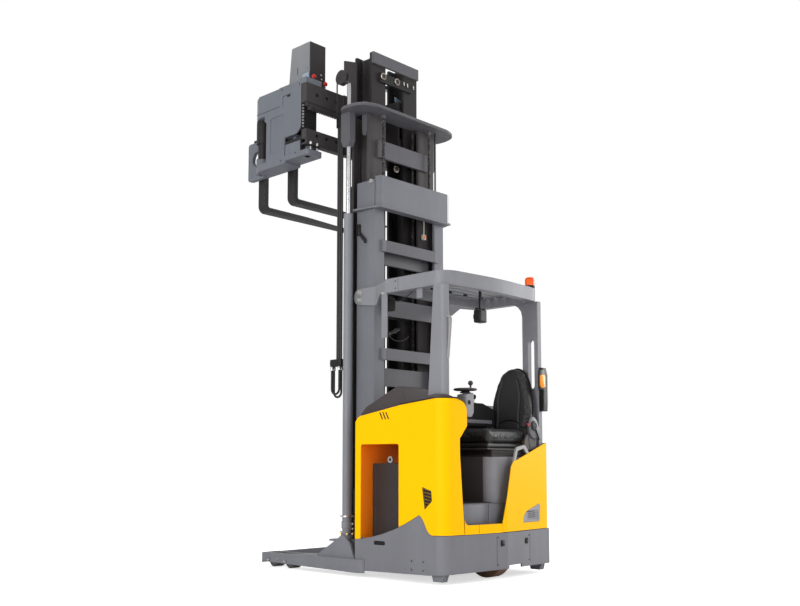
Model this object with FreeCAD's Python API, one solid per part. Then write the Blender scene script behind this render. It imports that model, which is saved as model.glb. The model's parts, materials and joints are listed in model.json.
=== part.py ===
"""Very narrow aisle truck, man-down, with a swivelling fork head.

Frame: X forward to the mast and forks, Y to the truck's left, Z up, floor at Z = 0.
All sizes are millimetres. Lengths along X are counted from the rear corners; each piece is
written with its origin moved to the floor under the middle of the truck's length.
"""
import FreeCAD
import Part
import math
import os

V = FreeCAD.Vector

# ---------------------------------------------------------------- driving sizes
half_width = 640.0            # chassis and body, half of the overall width
body_front = 906.0            # where the yellow body ends, behind the mast
rear_apex = 65.0              # how far the rear bulges behind its corners
rear_left_r = 100.0           # rounding in plan of the rear corners
rear_right_r = 70.0
skirt_right_r = 26.0          # the skirt's right corner is nearly square
skirt_bottom = 58.0
skirt_rear_rise = 22.0        # the lower edge is this much higher at the rear
skirt_top = 348.0
skirt_wall = 14.0
wave_peak_x = 244.0
wave_peak_z = 482.0
wave_front_z = 281.0
roller_bolt_x = 258.0         # bolt holes for side guide rollers, in the skirt
roller_bolt_z = 123.0
roller_bolt_span = 112.0
roller_bolt_rise = 62.0
roller_bolt_r = 6.5
panel_wall = 5.0
panel_gap = 3.0               # seam between neighbouring body panels

body_top_rear = 1320.0        # yellow body height at the rear corner
body_top_front = 1218.0
rear_right_top = 1020.0       # low edge of the rear right panel, far corner
rear_right_low = 868.0
entry_left_y = half_width - 228
entry_waist_y = half_width - 156
entry_foot_y = half_width - 200
entry_top_r = 95.0
entry_foot_r = 42.0
entry_right_y = 49.0
entry_right_top_y = -104.0
entry_sill_z = 412.0

battery_x = (452.0, 838.0)
battery_half_y = half_width - 120
battery_z = (86.0, 856.0)
bay_x = (444.0, 846.0)
bay_z = (300.0, 1000.0)
bay_wall = 6.0

floor_z = 560.0
floor_x = (20.0, 430.0)
bearer_z = (328.0, 380.0)     # bars on the chassis that carry the floor and the seat housing
bearer_y = half_width - 105
pedestal_edge = 64.0          # left side of the motor housing under the seat
pedestal_top = 905.0
cab_front_x = 432.0
cab_half = half_width - 40

leg_x = (800.0, 1992.0)       # from the end of the boot beside the skirt to the tip
leg_y = (half_width - 150, half_width + 30)
leg_top = 118.0
leg_bottom = 30.0
boot_run = 58.0               # length of the boot's rounded end
load_wheel_r = 60.0
load_wheel_w = 92.0
load_wheel_x = (1698.0, 1909.0)
wheel_mid_y = half_width - 66
axle_r = 14.0

drive_x = 134.0
drive_y = -30.0
drive_wheel_r = 171.0
drive_wheel_w = 114.0

mast_rear = 925.0
mast_depth = 202.0
mast_step = 90.0              # how far each inner stage stands ahead of the one outside it
flange_t = 24.0
web_t = 17.0
outer_half = 420.0
lip_span = 112.0              # how far a rail's flanges reach inwards
stage_gap = 6.0
mast_foot = 62.0
outer_top = 3150.0
middle_rest = 500.0           # how far each inner stage stands lifted in the modelled pose
middle_top = outer_top + middle_rest + 85
inner_top = middle_top + middle_rest + 84
crown_z = (outer_top - 229, outer_top + 24)
crown_rear = 859.0
crown_wall = 14.0
head_plate_t = 28.0           # cross plate on top of the middle stage

outer_lip = outer_half - lip_span
middle_rear = mast_rear + mast_step
middle_web = outer_lip - stage_gap - web_t
middle_outer = outer_half - web_t - stage_gap
middle_lip = outer_half - 218
inner_rear = middle_rear + mast_step
inner_web = middle_lip - stage_gap - web_t
inner_outer = middle_web - stage_gap
inner_lip = inner_outer - 167

lift_x = 1150.0
lift_y = outer_half + 77
lift_tube_r = 37.0
lift_rod_r = 20.0
rod_gap = 0.4
lift_tube_z = (282.0, outer_top - 266)
sheave_r = 62.0
sheave_x = 1216.0
sheave_z = middle_top + 317

free_x = 1352.0
free_y = 236.0
free_tube_r = 34.0
free_rod_r = 19.0
free_stroke = 950.0
crosshead_z = inner_top - 151

rail_top = inner_top - 307    # top of the rails that the fork head travels along
rail_x = (1420.0, 1480.0)
rail_upper_z = (rail_top - 162, rail_top)
rail_lower_z = (rail_top - 475, rail_top - 392)
keel_z = rail_top - 522
rack_z = rail_top - 212
carriage_z = (rail_top - 500, rail_top)

pivot_x = 2098.0
pivot_y = 640.0
head_half = 85.0
rail_half = pivot_y + head_half
head_x = 1490.0
head_plate = 12.0
nose_r = 56.0                 # round end of the head's arms, about the pivot
head_top = rail_top + 38
arm_upper_z = rail_top - 156
arm_lower_z = (rail_top - 632, rail_top - 567)
arm_lower_rear = 1405.0
shaft_r = 34.0
swivel_plate = (95.0, 130.0)  # distance of the fork carriage's plate from the pivot
swivel_half = 333.0
swivel_z = (rail_top - 612, rail_top - 264)

fork_w = 90.0
fork_t = 44.0
fork_half_spread = 204.0
fork_bottom = rail_top - 899
fork_length = 1190.0
fork_heel_r = 60.0

seat_x = 212.0
seat_y = -375.0               # where the cushion meets the backrest
seat_half = 188.0
cushion_z = 970.0             # underside of the cushion, on the seat's pan
back_foot = (-98.0, 1068.0)   # lowest point of the backrest's rear face, behind seat_y
back_lean = -0.074            # how far that face goes back for each mm it rises
console_x = 30.0              # the steering pod, at the operator's left hand
console_y = 306.0

guard_top = 2262.0
guard_band = 107.0
guard_half = half_width - 50
guard_rear = 27.0
guard_bulge = 45.0
guard_corner_r = 130.0
guard_front = 640.0
guard_rim = 62.0
guard_arm_t = 22.0

mid_length = (pivot_x + swivel_half - rear_apex) / 2


# ---------------------------------------------------------------- shape helpers
def block(x0, x1, y0, y1, z0, z1):
    return Part.makeBox(x1 - x0, y1 - y0, z1 - z0, V(x0, y0, z0))


def face(points):
    return Part.Face(Part.makePolygon(list(points) + [points[0]]))


def plate_xz(points, y0, y1):
    """A flat outline given as (x, z), thickened along Y."""
    return face([V(x, y0, z) for x, z in points]).extrude(V(0, y1 - y0, 0))


def plate_xy(points, z0, z1):
    """A flat outline given as (x, y), thickened along Z."""
    return face([V(x, y, z0) for x, y in points]).extrude(V(0, 0, z1 - z0))


def plate_yz(points, x0, x1):
    """A flat outline given as (y, z), thickened along X."""
    return face([V(x0, y, z) for y, z in points]).extrude(V(x1 - x0, 0, 0))


def rod(radius, start, end):
    axis = end.sub(start)
    return Part.makeCylinder(radius, axis.Length, start, axis)


def post(radius, x, y, z0, z1):
    return Part.makeCylinder(radius, z1 - z0, V(x, y, z0))


def fuse(pieces):
    first, rest = pieces[0], pieces[1:]
    return first.fuse(rest).removeSplitter() if rest else first


def mirrored(shape):
    """The same piece on the truck's other side."""
    return shape.mirror(V(0, 0, 0), V(0, 1, 0))


def both_sides(shape):
    return [shape, mirrored(shape)]


def soften(shape, radius, wanted):
    """Round the edges for which wanted(edge) is true."""
    edges = [edge for edge in shape.Edges if wanted(edge)]
    return shape.makeFillet(radius, edges) if edges else shape


def runs_along(edge, axis):
    ends = [vertex.Point for vertex in edge.Vertexes]
    if len(ends) < 2:
        return False
    way = ends[1].sub(ends[0])
    return way.Length > 1e-6 and abs(abs(way.normalize().dot(axis)) - 1) < 1e-4


X_AXIS, Y_AXIS, Z_AXIS = V(1, 0, 0), V(0, 1, 0), V(0, 0, 1)


def save(name, *shapes):
    solids = [solid for shape in shapes for solid in shape.Solids]
    out = solids[0].copy() if len(solids) == 1 else Part.makeCompound(solids)
    out.translate(V(-mid_length, 0, 0))
    if not all(solid.isValid() for solid in solids):
        raise ValueError(name + " is not a valid solid")
    out.exportStep("parts/" + name + ".step")


# ---------------------------------------------------------------- chassis and body shell
def body_core(inset, z0, z1, right_r=rear_right_r):
    """The body's outline in plan, with its bulging rear, moved inwards by inset."""
    side = half_width - inset
    outline = [(body_front, side), (inset, side), (inset - rear_apex, 0), (inset, -side), (body_front, -side)]
    core = plate_xy(outline, z0, z1)
    for way, radius in ((1, rear_left_r), (-1, right_r)):
        core = soften(core, radius - inset, lambda e: runs_along(e, Z_AXIS) and abs(e.Vertexes[0].X - inset) < 1
                      and e.Vertexes[0].Y * way > 0)
    return core


def body_skin(wall, z0, z1, right_r=rear_right_r):
    return body_core(0, z0, z1, right_r).cut(body_core(wall, z0 - 1, z1 + 1, right_r))


def wave_cut():
    """Everything above the skirt's top edge, which rises to a peak on each side."""
    rise = Part.BSplineCurve()
    rise.interpolate([V(85, 0, skirt_top - 4), V(150, 0, skirt_top + 12), V(214, 0, wave_peak_z - 21),
                      V(wave_peak_x, 0, wave_peak_z)])
    fall = Part.BSplineCurve()
    fall.interpolate([V(wave_peak_x, 0, wave_peak_z), V(434, 0, 392), V(728, 0, 305),
                      V(body_front + 10, 0, wave_front_z - 5)])
    far = 700.0
    corners = [V(body_front + 10, 0, wave_front_z - 5), V(body_front + 10, 0, far), V(-200, 0, far),
               V(-200, 0, skirt_top - 4), V(85, 0, skirt_top - 4)]
    wire = Part.Wire([rise.toShape(), fall.toShape()] + Part.makePolygon(corners).Edges)
    return Part.Face(wire).extrude(V(0, 2 * half_width + 40, 0)).translate(V(0, -half_width - 20, 0))


def slot_y(x, z, length, height, y0, y1):
    """A round-ended hole through the sides, along X."""
    straight = length - height
    middle = block(x - straight / 2, x + straight / 2, y0, y1, z - height / 2, z + height / 2)
    ends = [rod(height / 2, V(x + s * straight / 2, y0, z), V(x + s * straight / 2, y1, z)) for s in (-1, 1)]
    return fuse([middle] + ends)


def chassis_frame():
    inner = half_width - skirt_wall
    skirt = body_skin(skirt_wall, 30, 520, skirt_right_r).cut(wave_cut())
    pan = body_core(skirt_wall - 1, 60, 72, skirt_right_r)
    pan = pan.common(block(360, body_front, -inner - 1, inner + 1, 0, 90))
    front_wall = block(body_front - 14, body_front, -inner - 1, inner + 1, 60, 276)
    rear_wall = block(424, 436, -inner - 1, inner + 1, 71, 345)
    bearers = [block(40, 430, y - 15, y + 15, *bearer_z) for y in (bearer_y, -bearer_y)]
    bearers.append(block(330, 360, -bearer_y, bearer_y, *bearer_z))
    top_ring = block(-20, 430, -inner - 1, inner + 1, 318, 330)
    top_ring = top_ring.common(body_core(skirt_wall - 1, 300, 340, skirt_right_r))
    top_ring = top_ring.cut(post(drive_wheel_r + 60, drive_x, drive_y, 300, 340))
    frame = fuse([skirt, pan, front_wall, rear_wall, top_ring] + bearers)
    under = plate_xz([(-100, 0), (-100, skirt_bottom + skirt_rear_rise), (156, skirt_bottom + 4),
                      (body_front + 1, skirt_bottom - 12), (body_front + 1, 0)], -half_width - 10, half_width + 10)
    notch = block(-90, 40, drive_y - 172, drive_y + 10, 0, skirt_bottom + skirt_rear_rise + 21)
    slots = slot_y(644, 264, 121, 30, -half_width - 10, half_width + 10)
    bolts = []
    for x in (roller_bolt_x - roller_bolt_span / 2, roller_bolt_x + roller_bolt_span / 2):
        for z in (roller_bolt_z - roller_bolt_rise / 2, roller_bolt_z + roller_bolt_rise / 2):
            bolts.append(rod(roller_bolt_r, V(x, -half_width - 10, z), V(x, half_width + 10, z)))
    return fuse([frame.cut([under, notch, slots] + bolts)] + both_sides(corner_foot()))


def corner_foot():
    """Bracket foot under a rear corner."""
    top = skirt_bottom + 20
    side = half_width - 30
    foot = plate_xz([(26, top), (152, top), (134, 20), (48, 20)], side - 54, side)
    flange = block(18, 164, side - 66, half_width, top - 2, top + 10)
    return fuse([foot, flange]).common(body_core(skirt_wall - 1, 0, 200))


def leg():
    """Load-wheel arm: a low beam with a round boot, a tall gusset and open wells for two wheels."""
    x0, x1 = body_front + 2, leg_x[1]
    y0, y1 = leg_y
    beam = plate_xz([(x0, leg_bottom), (x1, leg_bottom + 14), (x1, leg_top), (1700, leg_top), (1420, 130),
                     (x0, 130)], y0, y1)
    out = y1 - half_width
    bend_r = (boot_run ** 2 + out ** 2) / (2 * out)
    half_turn = math.asin(boot_run / bend_r) / 2
    start, end = V(leg_x[0], half_width, leg_bottom), V(leg_x[0] + boot_run, y1, leg_bottom)
    middle = V(end.x - bend_r * math.sin(half_turn), y1 - bend_r * (1 - math.cos(half_turn)), leg_bottom)
    back = Part.makePolygon([end, V(x0 + 20, y1, leg_bottom), V(x0 + 20, half_width, leg_bottom), start])
    boot = Part.Face(Part.Wire([Part.Arc(start, middle, end).toShape()] + back.Edges))
    boot = boot.extrude(V(0, 0, 130 - leg_bottom))
    gusset = plate_xz([(1410, 118), (1354, 127), (1307, 156), (1099, 277), (1053, 310), (1019, 288), (963, 238),
                       (917, 132), (914, 118)], y1 - 50, y1 - 30)
    inner_gusset = plate_xz([(1300, 120), (1120, 262), (x0, 262), (x0, 120)], y0, y0 + 18)
    saddle = block(1090, 1210, y0, y1 - 40, 250, 266)
    well = block(load_wheel_x[0] - 78, load_wheel_x[1] + 70, wheel_mid_y - load_wheel_w / 2 - 8,
                 wheel_mid_y + load_wheel_w / 2 + 8, 0, 200)
    pins = [rod(axle_r, V(x, y0 + 2, load_wheel_r), V(x, y1 + 4, load_wheel_r)) for x in load_wheel_x]
    return fuse([fuse([beam, boot, gusset, inner_gusset, saddle]).cut(well)] + pins)


def load_wheel(x, side):
    """Polyurethane roller with a steel hub recess on each face."""
    y = wheel_mid_y
    half = load_wheel_w / 2
    profile = [V(x + axle_r + 0.08, y - half + 6, 0), V(x + 30, y - half + 6, 0), V(x + 36, y - half, 0),
               V(x + load_wheel_r - 6, y - half, 0), V(x + load_wheel_r, y - half + 6, 0),
               V(x + load_wheel_r, y + half - 6, 0), V(x + load_wheel_r - 6, y + half, 0),
               V(x + 36, y + half, 0), V(x + 30, y + half - 6, 0), V(x + axle_r + 0.08, y + half - 6, 0)]
    profile = [p.add(V(0, 0, load_wheel_r)) for p in profile]
    wheel = face(profile).revolve(V(x, y, load_wheel_r), Y_AXIS, 360)
    return wheel if side > 0 else mirrored(wheel)


def front_beam():
    """Cross plate between the arms' tips, with an upstanding lip at its front."""
    inner = leg_y[0]
    tray = block(1840, 2004, -inner, inner, 52, 64)
    lip = block(1990, 2004, -inner, inner, 40, 114)
    return fuse([tray, lip])


# ---------------------------------------------------------------- yellow panels
def side_top():
    """Outline, in (x, z), of all that is above the side panels' top edge."""
    return [(body_front + 30, 1150), (body_front - 3, 1178), (880, 1206), (849, body_top_front),
            (411, 1288), (78, body_top_rear), (-120, body_top_rear), (-120, 1600), (body_front + 30, 1600)]


def bay_hole(y0, y1):
    hole = block(bay_x[0], bay_x[1], y0, y1, 200, bay_z[1])
    return soften(hole, 18, lambda e: runs_along(e, Y_AXIS) and e.Vertexes[0].Z > 900)


def round_corner(y, z, radius, way):
    """What lies outside a rounded corner whose straight edges meet at (y, z); way gives its two directions."""
    far_y, far_z = y + way[0] * radius, z + way[1] * radius
    square = block(-200, 20, min(y, far_y), max(y, far_y), min(z, far_z), max(z, far_z))
    return square.cut(rod(radius, V(-201, far_y, far_z), V(21, far_y, far_z)))


def side_panel_left():
    skin = body_skin(panel_wall, 200, 1400).common(block(-200, body_front, 0, half_width, 200, 1400))
    above = plate_xz(side_top(), -10, half_width + 10)
    below = body_core(-20, 100, 700).cut(wave_cut()).translate(V(0, 0, panel_gap))
    entry = plate_yz([(-10, 190), (-10, 1500), (entry_left_y, 1500), (entry_left_y, 1124), (entry_waist_y, 1034),
                      (entry_waist_y, 925), (entry_foot_y + 12, 468), (entry_foot_y, 300), (entry_foot_y, 190)],
                     -150, floor_x[0])
    shoulder = round_corner(entry_left_y, body_top_rear, entry_top_r, (1, -1))
    bay = bay_hole(half_width - 40, half_width + 10)
    vent = plate_xz([(209, 685), (125, 659), (118, 589), (184, 527)], half_width - 40, half_width + 10)
    slats = [plate_xz([(100, z), (230, z + 24), (230, z + 15), (100, z - 9)], half_width - panel_wall, half_width)
             for z in range(516, 700, 24)]
    panel = skin.cut([above, below, entry, shoulder, bay, vent])
    return fuse([panel] + [slat.common(vent) for slat in slats])


def side_panel_right():
    skin = body_skin(panel_wall, 200, 1400).common(block(70, body_front, -half_width, 0, 200, 1400))
    skin = skin.common(block(70, body_front, -half_width - 1, -half_width + 60, 200, 1400))
    above = plate_xz(side_top(), -half_width - 10, 10)
    below = body_core(-20, 100, 700).cut(wave_cut()).translate(V(0, 0, panel_gap))
    shoulder = plate_xz([(-10, rear_right_top), (190, rear_right_top + 22), (330, 1300), (330, 1500), (-10, 1500)],
                        -half_width - 10, 10)
    bay = bay_hole(-half_width - 10, -half_width + 40)
    return skin.cut([above, below, shoulder, bay])


def rear_region(points):
    return plate_yz(points, -200, 70 - panel_gap)


def vent_outline(gap):
    """The vent's six-sided outline, in (y, z), made smaller by gap."""
    return [(-230 - gap, 405 + gap), (-236 - gap, 455), (-274 - gap, 489 - gap), (-468, 544 - gap),
            (-488 + gap, 530), (-474 + gap, 405 + gap)]


def rear_panel_right():
    """Low yellow panel round the rear right corner, with a vent hole and a lap behind the side panel."""
    skin = body_skin(panel_wall, 200, 1400)
    keep = rear_region([(entry_right_y, skirt_top), (entry_right_y, entry_sill_z), (-65, 837),
                        (entry_right_top_y, rear_right_low + 6), (-149, rear_right_low + 14), (-565, 1012),
                        (-half_width - 5, rear_right_top), (-half_width - 5, skirt_top)])
    panel = skin.common(keep).cut(rear_region(vent_outline(0)))
    behind = body_core(panel_wall, 400, 860).cut(body_core(panel_wall + 4, 399, 861))
    return panel.fuse(behind.common(block(45, 95, -half_width, -half_width + 60, 400, 860)))


def rear_vent():
    """Grey louvred insert in the rear right panel, with a flange that laps behind the yellow sheet."""
    body = body_skin(14, 380, 560).common(rear_region(vent_outline(panel_gap)))
    behind = body_core(panel_wall, 380, 560).cut(body_core(14, 379, 561))
    body = body.fuse(behind.common(rear_region(vent_outline(-8))))
    louvres = [plate_yz([(-290, z), (-455, z), (-455, z + 7), (-290, z + 7)], -120, -2) for z in range(424, 490, 15)]
    cut_depth = body_core(6, 380, 560)
    return body.cut([louvre.cut(cut_depth) for louvre in louvres])


def rear_sill():
    skin = body_skin(panel_wall + 3, skirt_top - 4, entry_sill_z + entry_foot_r)
    edge = entry_foot_y - panel_gap
    keep = rear_region([(edge, 300), (edge, entry_sill_z), (entry_right_y + panel_gap, entry_sill_z),
                        (entry_right_y + panel_gap, 300)])
    corner = round_corner(edge, entry_sill_z, entry_foot_r, (-1, 1))
    return skin.common(fuse([keep, corner]))


# ---------------------------------------------------------------- battery and its bay
def battery_bay():
    """Orange lined tunnel that the battery rolls through from side to side."""
    y = half_width - panel_wall
    outer = block(bay_x[0] - bay_wall, bay_x[1] + bay_wall, -y, y, 72, bay_z[1] + bay_wall)
    inner = block(bay_x[0], bay_x[1], -y - 1, y + 1, battery_z[0], bay_z[1])
    keep_clear = block(bay_x[0] - 20, bay_x[0] + 20, -y - 1, y + 1, 0, 400)
    keep_clear = keep_clear.fuse(block(bay_x[0] + 20, bay_x[1] + 20, -y - 1, y + 1, 0, bay_z[0]))
    lower = outer.common(keep_clear).common(block(0, 1000, -half_width + 40, half_width - 40, 0, 400))
    upper = outer.cut(keep_clear)
    return fuse([upper, lower]).cut(inner)


def battery():
    cell = block(battery_x[0], battery_x[1], -battery_half_y, battery_half_y, *battery_z)
    cell = soften(cell, 8, lambda e: runs_along(e, Z_AXIS))
    eyes = []
    for y in (-battery_half_y + 12, battery_half_y - 12):
        for x in (battery_x[0] + 100, battery_x[1] - 100):
            tab = plate_xz([(x - 52, battery_z[1] - 2), (x - 30, battery_z[1] + 52), (x + 30, battery_z[1] + 52),
                            (x + 52, battery_z[1] - 2)], y - 6, y + 6)
            eyes.append(tab.cut(rod(14, V(x, y - 10, battery_z[1] + 24), V(x, y + 10, battery_z[1] + 24))))
    return fuse([cell] + eyes)


def front_cowl():
    """Dark moulded cover between the body's top edge and the mast, open underneath."""
    outer = [(884, 1190), (884, 1240), (820, 1296), (520, 1428), (462, 1428), (438, 1345), (438, 1190)]
    inner = [(878, 1180), (878, 1237), (816, 1290), (518, 1421), (466, 1421), (444, 1344), (444, 1180)]
    shell = plate_xz(outer, -cab_half, cab_half)
    shell = soften(shell, 30, lambda e: runs_along(e, Y_AXIS) and e.Vertexes[0].Z > 1235)
    return shell.cut(plate_xz(inner, -cab_half + 8, cab_half - 8))


# ---------------------------------------------------------------- operator's compartment
def entry_step():
    side = bearer_y + 15
    riser = block(floor_x[0], floor_x[0] + 8, -130, side, bearer_z[1], floor_z)
    tread = block(floor_x[0], floor_x[1], pedestal_edge + 4, side, floor_z - 8, floor_z)
    rib = block(floor_x[0] + 22, floor_x[1], side - 10, side, bearer_z[1], floor_z)
    return fuse([riser, tread, rib])


def cab_wall():
    """Dark lining: the wall towards the battery, and the returns at both sides."""
    front = block(cab_front_x, bay_x[0] - bay_wall, -cab_half, cab_half, 345, 1202)
    left = block(120, cab_front_x, cab_half - 10, cab_half, 345, 1186)
    right = block(120, cab_front_x, -cab_half, -cab_half + 10, 345, 975)
    return fuse([front, left, right])


def seat_pedestal():
    """Grey motor housing under the seat, with a large rounded edge beside the floor."""
    shapes = []
    for inset in (0, 8):
        x0, y1 = floor_x[0] + 9 + inset, pedestal_edge - inset
        x1, y0 = cab_front_x - 2 + inset, -cab_half + 15 + inset
        body = block(x0, x1, y0, y1, bearer_z[1] - inset, pedestal_top - inset)
        body = soften(body, 90 - inset, lambda e: runs_along(e, Z_AXIS) and e.Vertexes[0].X < x0 + 1
                      and e.Vertexes[0].Y > y1 - 1)
        shapes.append(body)
    return shapes[0].cut(shapes[1])


def seat_base():
    """Suspension box, cushion pan, backrest side hinges and the plate that carries the backrest."""
    box = block(seat_x - 176, seat_x + 176, seat_y - 40, seat_y + 430, pedestal_top + 2, 962)
    box = soften(box, 14, lambda e: runs_along(e, Z_AXIS))
    foot = block(seat_x - 150, seat_x + 150, seat_y - 20, seat_y + 410, pedestal_top, pedestal_top + 3)
    ears = []
    for side in (-1, 1):
        x = seat_x + side * (seat_half + 12)
        outline = [(-90, 960), (70, 960), (50, 1040), (-10, 1120), (-70, 1120), (-100, 1040)]
        ear = plate_yz([(seat_y + y, z) for y, z in outline], x - 8, x + 8)
        ears.append(soften(ear, 4, lambda e: runs_along(e, X_AXIS)))
    bar = block(seat_x - seat_half - 8, seat_x + seat_half + 8, seat_y - 70, seat_y - 10, 948, 966)
    pan = block(seat_x - 170, seat_x + 170, seat_y + 10, seat_y + 470, 960, cushion_z)
    top = back_foot[1] + 112
    high = back_foot[0] + back_lean * (top - back_foot[1])
    rest = plate_yz([(seat_y + y, z) for y, z in [(-66, 950), (-66, 962), back_foot, (high, top), (high - 8, top),
                                                  (back_foot[0] - 8, back_foot[1]), (-74, 950)]],
                    seat_x - 70, seat_x + 70)
    return fuse([box, foot, bar, pan, rest] + ears)


def seat_cushion():
    pad = block(seat_x - seat_half, seat_x + seat_half, seat_y, seat_y + 490, cushion_z, 1062)
    return soften(pad, 36, lambda e: runs_along(e, Z_AXIS) or e.Vertexes[0].Z > 1061 and e.Vertexes[-1].Z > 1061)


def seat_back():
    """Egg-shaped backrest, widest low down, leaning back."""
    bend = back_foot[1] + 432
    deep = back_foot[0] + back_lean * 432
    lean = [(-6, back_foot[1]), (-56, 1640), (deep, 1640), (deep, bend), back_foot]
    pad = plate_yz([(seat_y + y, z) for y, z in lean], seat_x - 200, seat_x + 200)
    half = [(0, 1068), (130, 1082), (182, 1190), (184, 1320), (152, 1470), (96, 1590), (0, 1638)]
    ring = [V(seat_x + w, 0, z) for w, z in half] + [V(seat_x - w, 0, z) for w, z in half[-2:0:-1]]
    curve = Part.BSplineCurve()
    curve.interpolate(ring, PeriodicFlag=True)
    egg = Part.Face(Part.Wire([curve.toShape()])).extrude(V(0, -700, 0))
    return pad.common(egg)


def steering_console():
    """Light pod with the key switch, at the operator's left hand, on an arm from the side panel."""
    outline = [(-42, 1230), (-20, 1196), (28, 1192), (52, 1230), (52, 1362), (-42, 1378)]
    pod = plate_yz([(console_y + y, z) for y, z in outline], console_x, console_x + 90)
    pod = soften(pod, 10, lambda e: e.Length > 20)
    bracket = block(console_x + 30, console_x + 70, console_y + 46, half_width, 1226, 1262)
    bracket = bracket.common(body_core(panel_wall, 1200, 1300))
    stem = post(14, console_x + 50, console_y, 1350, 1392)
    return fuse([pod, bracket, stem])


def steering_disc():
    x, y = console_x + 50, console_y
    disc = [V(x, y, 1392.3), V(x + 80, y, 1392.3), V(x + 88, y, 1397), V(x + 88, y, 1402), V(x + 80, y, 1408),
            V(x + 20, y, 1400), V(x, y, 1400)]
    wheel = face(disc).revolve(V(x, y, 0), Z_AXIS, 360)
    knob = fuse([post(7, x, y - 62, 1398, 1440), Part.makeSphere(19, V(x, y - 62, 1452))])
    return fuse([wheel, knob])


def lever_console():
    """Dark armrest console between the seat and the battery wall."""
    outline = [(-368, 1150), (10, 1150), (34, 1190), (10, 1292), (-50, 1332), (-220, 1332), (-368, 1286)]
    shell = plate_yz(outline, cab_front_x - 92, cab_front_x)
    return soften(shell, 16, lambda e: runs_along(e, X_AXIS))


# ---------------------------------------------------------------- overhead guard
def guard_plan(inset, z0, z1):
    """The roof's outline in plan, moved inwards by inset: a gently bulging rear edge with round corners."""
    side = guard_half - inset
    rear = guard_rear + inset
    outline = [(guard_front, side), (rear, side), (rear - guard_bulge, 0), (rear, -side), (guard_front, -side)]
    plan = plate_xy(outline, z0, z1)
    plan = soften(plan, 2400, lambda e: runs_along(e, Z_AXIS) and abs(e.Vertexes[0].Y) < 1)
    return soften(plan, guard_corner_r - inset, lambda e: runs_along(e, Z_AXIS) and abs(e.Vertexes[0].X - rear) < 1)


def guard_arm():
    """Front arm: a strip bent in plan, stepped along its lower edge, with a round end on the mast."""
    a, b = guard_half, outer_half + 26
    bolt = V(1068, 0, guard_top - 65)
    t = guard_arm_t
    plan = [(560, a), (596, a), (880, b), (1140, b), (1140, b - t), (874, b - t), (590, a - t), (560, a - t)]
    strip = plate_xy(plan, guard_top - 160, guard_top - 1)
    z0 = guard_top - guard_band
    side = plate_xz([(560, z0), (650, z0), (794, z0 + 21), (858, z0 - 34), (897, z0 - 50), (bolt.x, bolt.z - 66),
                     (bolt.x, guard_top), (560, guard_top)], 0, 900)
    nose = rod(66, V(bolt.x, 0, bolt.z), V(bolt.x, 900, bolt.z))
    pads = [rod(24, V(bolt.x, outer_half, bolt.z + dz), V(bolt.x, b - t + 1, bolt.z + dz)) for dz in (-31, 31)]
    return fuse([strip.common(fuse([side, nose]))] + pads)


def guard_posts():
    z0 = guard_top - guard_band
    y1 = guard_half - 2
    left = plate_xz([(36, body_top_rear - 40), (206, body_top_rear - 40), (196, body_top_rear + 20), (143, z0 + 4),
                     (36, z0 + 4)], y1 - 50, y1)
    left = soften(left, 38, lambda e: runs_along(e, Z_AXIS) and e.Vertexes[0].Y > y1 - 1 and e.Vertexes[0].X < 37)
    right = plate_xz([(26, rear_right_top - 40), (178, rear_right_top - 40), (178, z0 - 110), (188, z0 - 64),
                      (216, z0 - 28), (270, z0 + 4), (26, z0 + 4)], -y1, -y1 + 46)
    slot = block(62, 123, -y1 - 1, -y1 + 50, 1480, 1822)
    ends = [rod(30.5, V(92.5, -y1 - 1, z), V(92.5, -y1 + 50, z)) for z in (1480, 1822)]
    return [left, right.cut(fuse([slot] + ends))]


def guard_frame():
    """Roof frame on two rear posts, with two arms that reach forward to the mast."""
    z0 = guard_top - guard_band
    hole = guard_plan(guard_rim, z0 - 1, guard_top + 1)
    hole = hole.common(block(-100, guard_front - 40, -guard_half, guard_half, z0 - 2, guard_top + 2))
    frame = guard_plan(0, z0, guard_top).cut(hole)
    slats = []
    count = 6
    first = guard_rear + guard_rim
    for index in range(count):
        x = first + (index + 0.5) * (guard_front - 40 - first) / count
        slats.append(block(x - 27, x + 27, -guard_half + guard_rim - 4, guard_half - guard_rim + 4, guard_top - 34,
                           guard_top - 22))
    tab = plate_xz([(273, z0 - 74), (331, z0 - 74), (331, z0 + 2), (273, z0 + 2)], guard_half - 32, guard_half - 26)
    return fuse([frame, tab] + both_sides(guard_arm()) + slats + guard_posts())


def work_lamps(guard):
    """Two lamps: one on a bracket inside the left front arm, one under the roof's slats."""
    lamps = []
    for x, y, z in ((730, 450, guard_top - 167), (150, 36, guard_top - 277)):
        shell = soften(block(x - 36, x + 36, y - 42, y + 42, z - 50, z + 50), 12, lambda e: e.Length > 40)
        stem = block(x - 8, x + 8, y - 8, y + 8, z + 40, guard_top - 34)
        lamps.append([shell, stem])
    lamps[0].append(block(722, 738, 442, 520, guard_top - 42, guard_top - 34))
    return [fuse(lamp).cut(guard) for lamp in lamps]


def beacon():
    x, y = guard_rear + 26, -480
    base = post(30, x, y, guard_top, guard_top + 14)
    dome = post(37, x, y, guard_top + 14, guard_top + 86)
    dome = soften(dome, 20, lambda e: e.Vertexes[0].Z > guard_top + 85)
    return fuse([base, dome])


def lamp_pod():
    """Black moulded tail-lamp housing behind the rear right post."""
    outline = [(-14, 1270), (26, 1270), (26, 1620), (-4, 1620), (-18, 1560), (-18, 1330)]
    pod = plate_xz(outline, -guard_half - 22, -guard_half + 38)
    return soften(pod, 7, lambda e: e.Length > 30 and e.Vertexes[0].X < 25)


def grab_handle(guard):
    """Bent tube beside the entry, from the post up to the guard."""
    points = [V(95, 550, 1950), V(8, 550, 1908), V(36, 550, 1617), V(128, 550, 1528)]
    return swept_tube(points, 11, 30).cut(guard)


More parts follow.
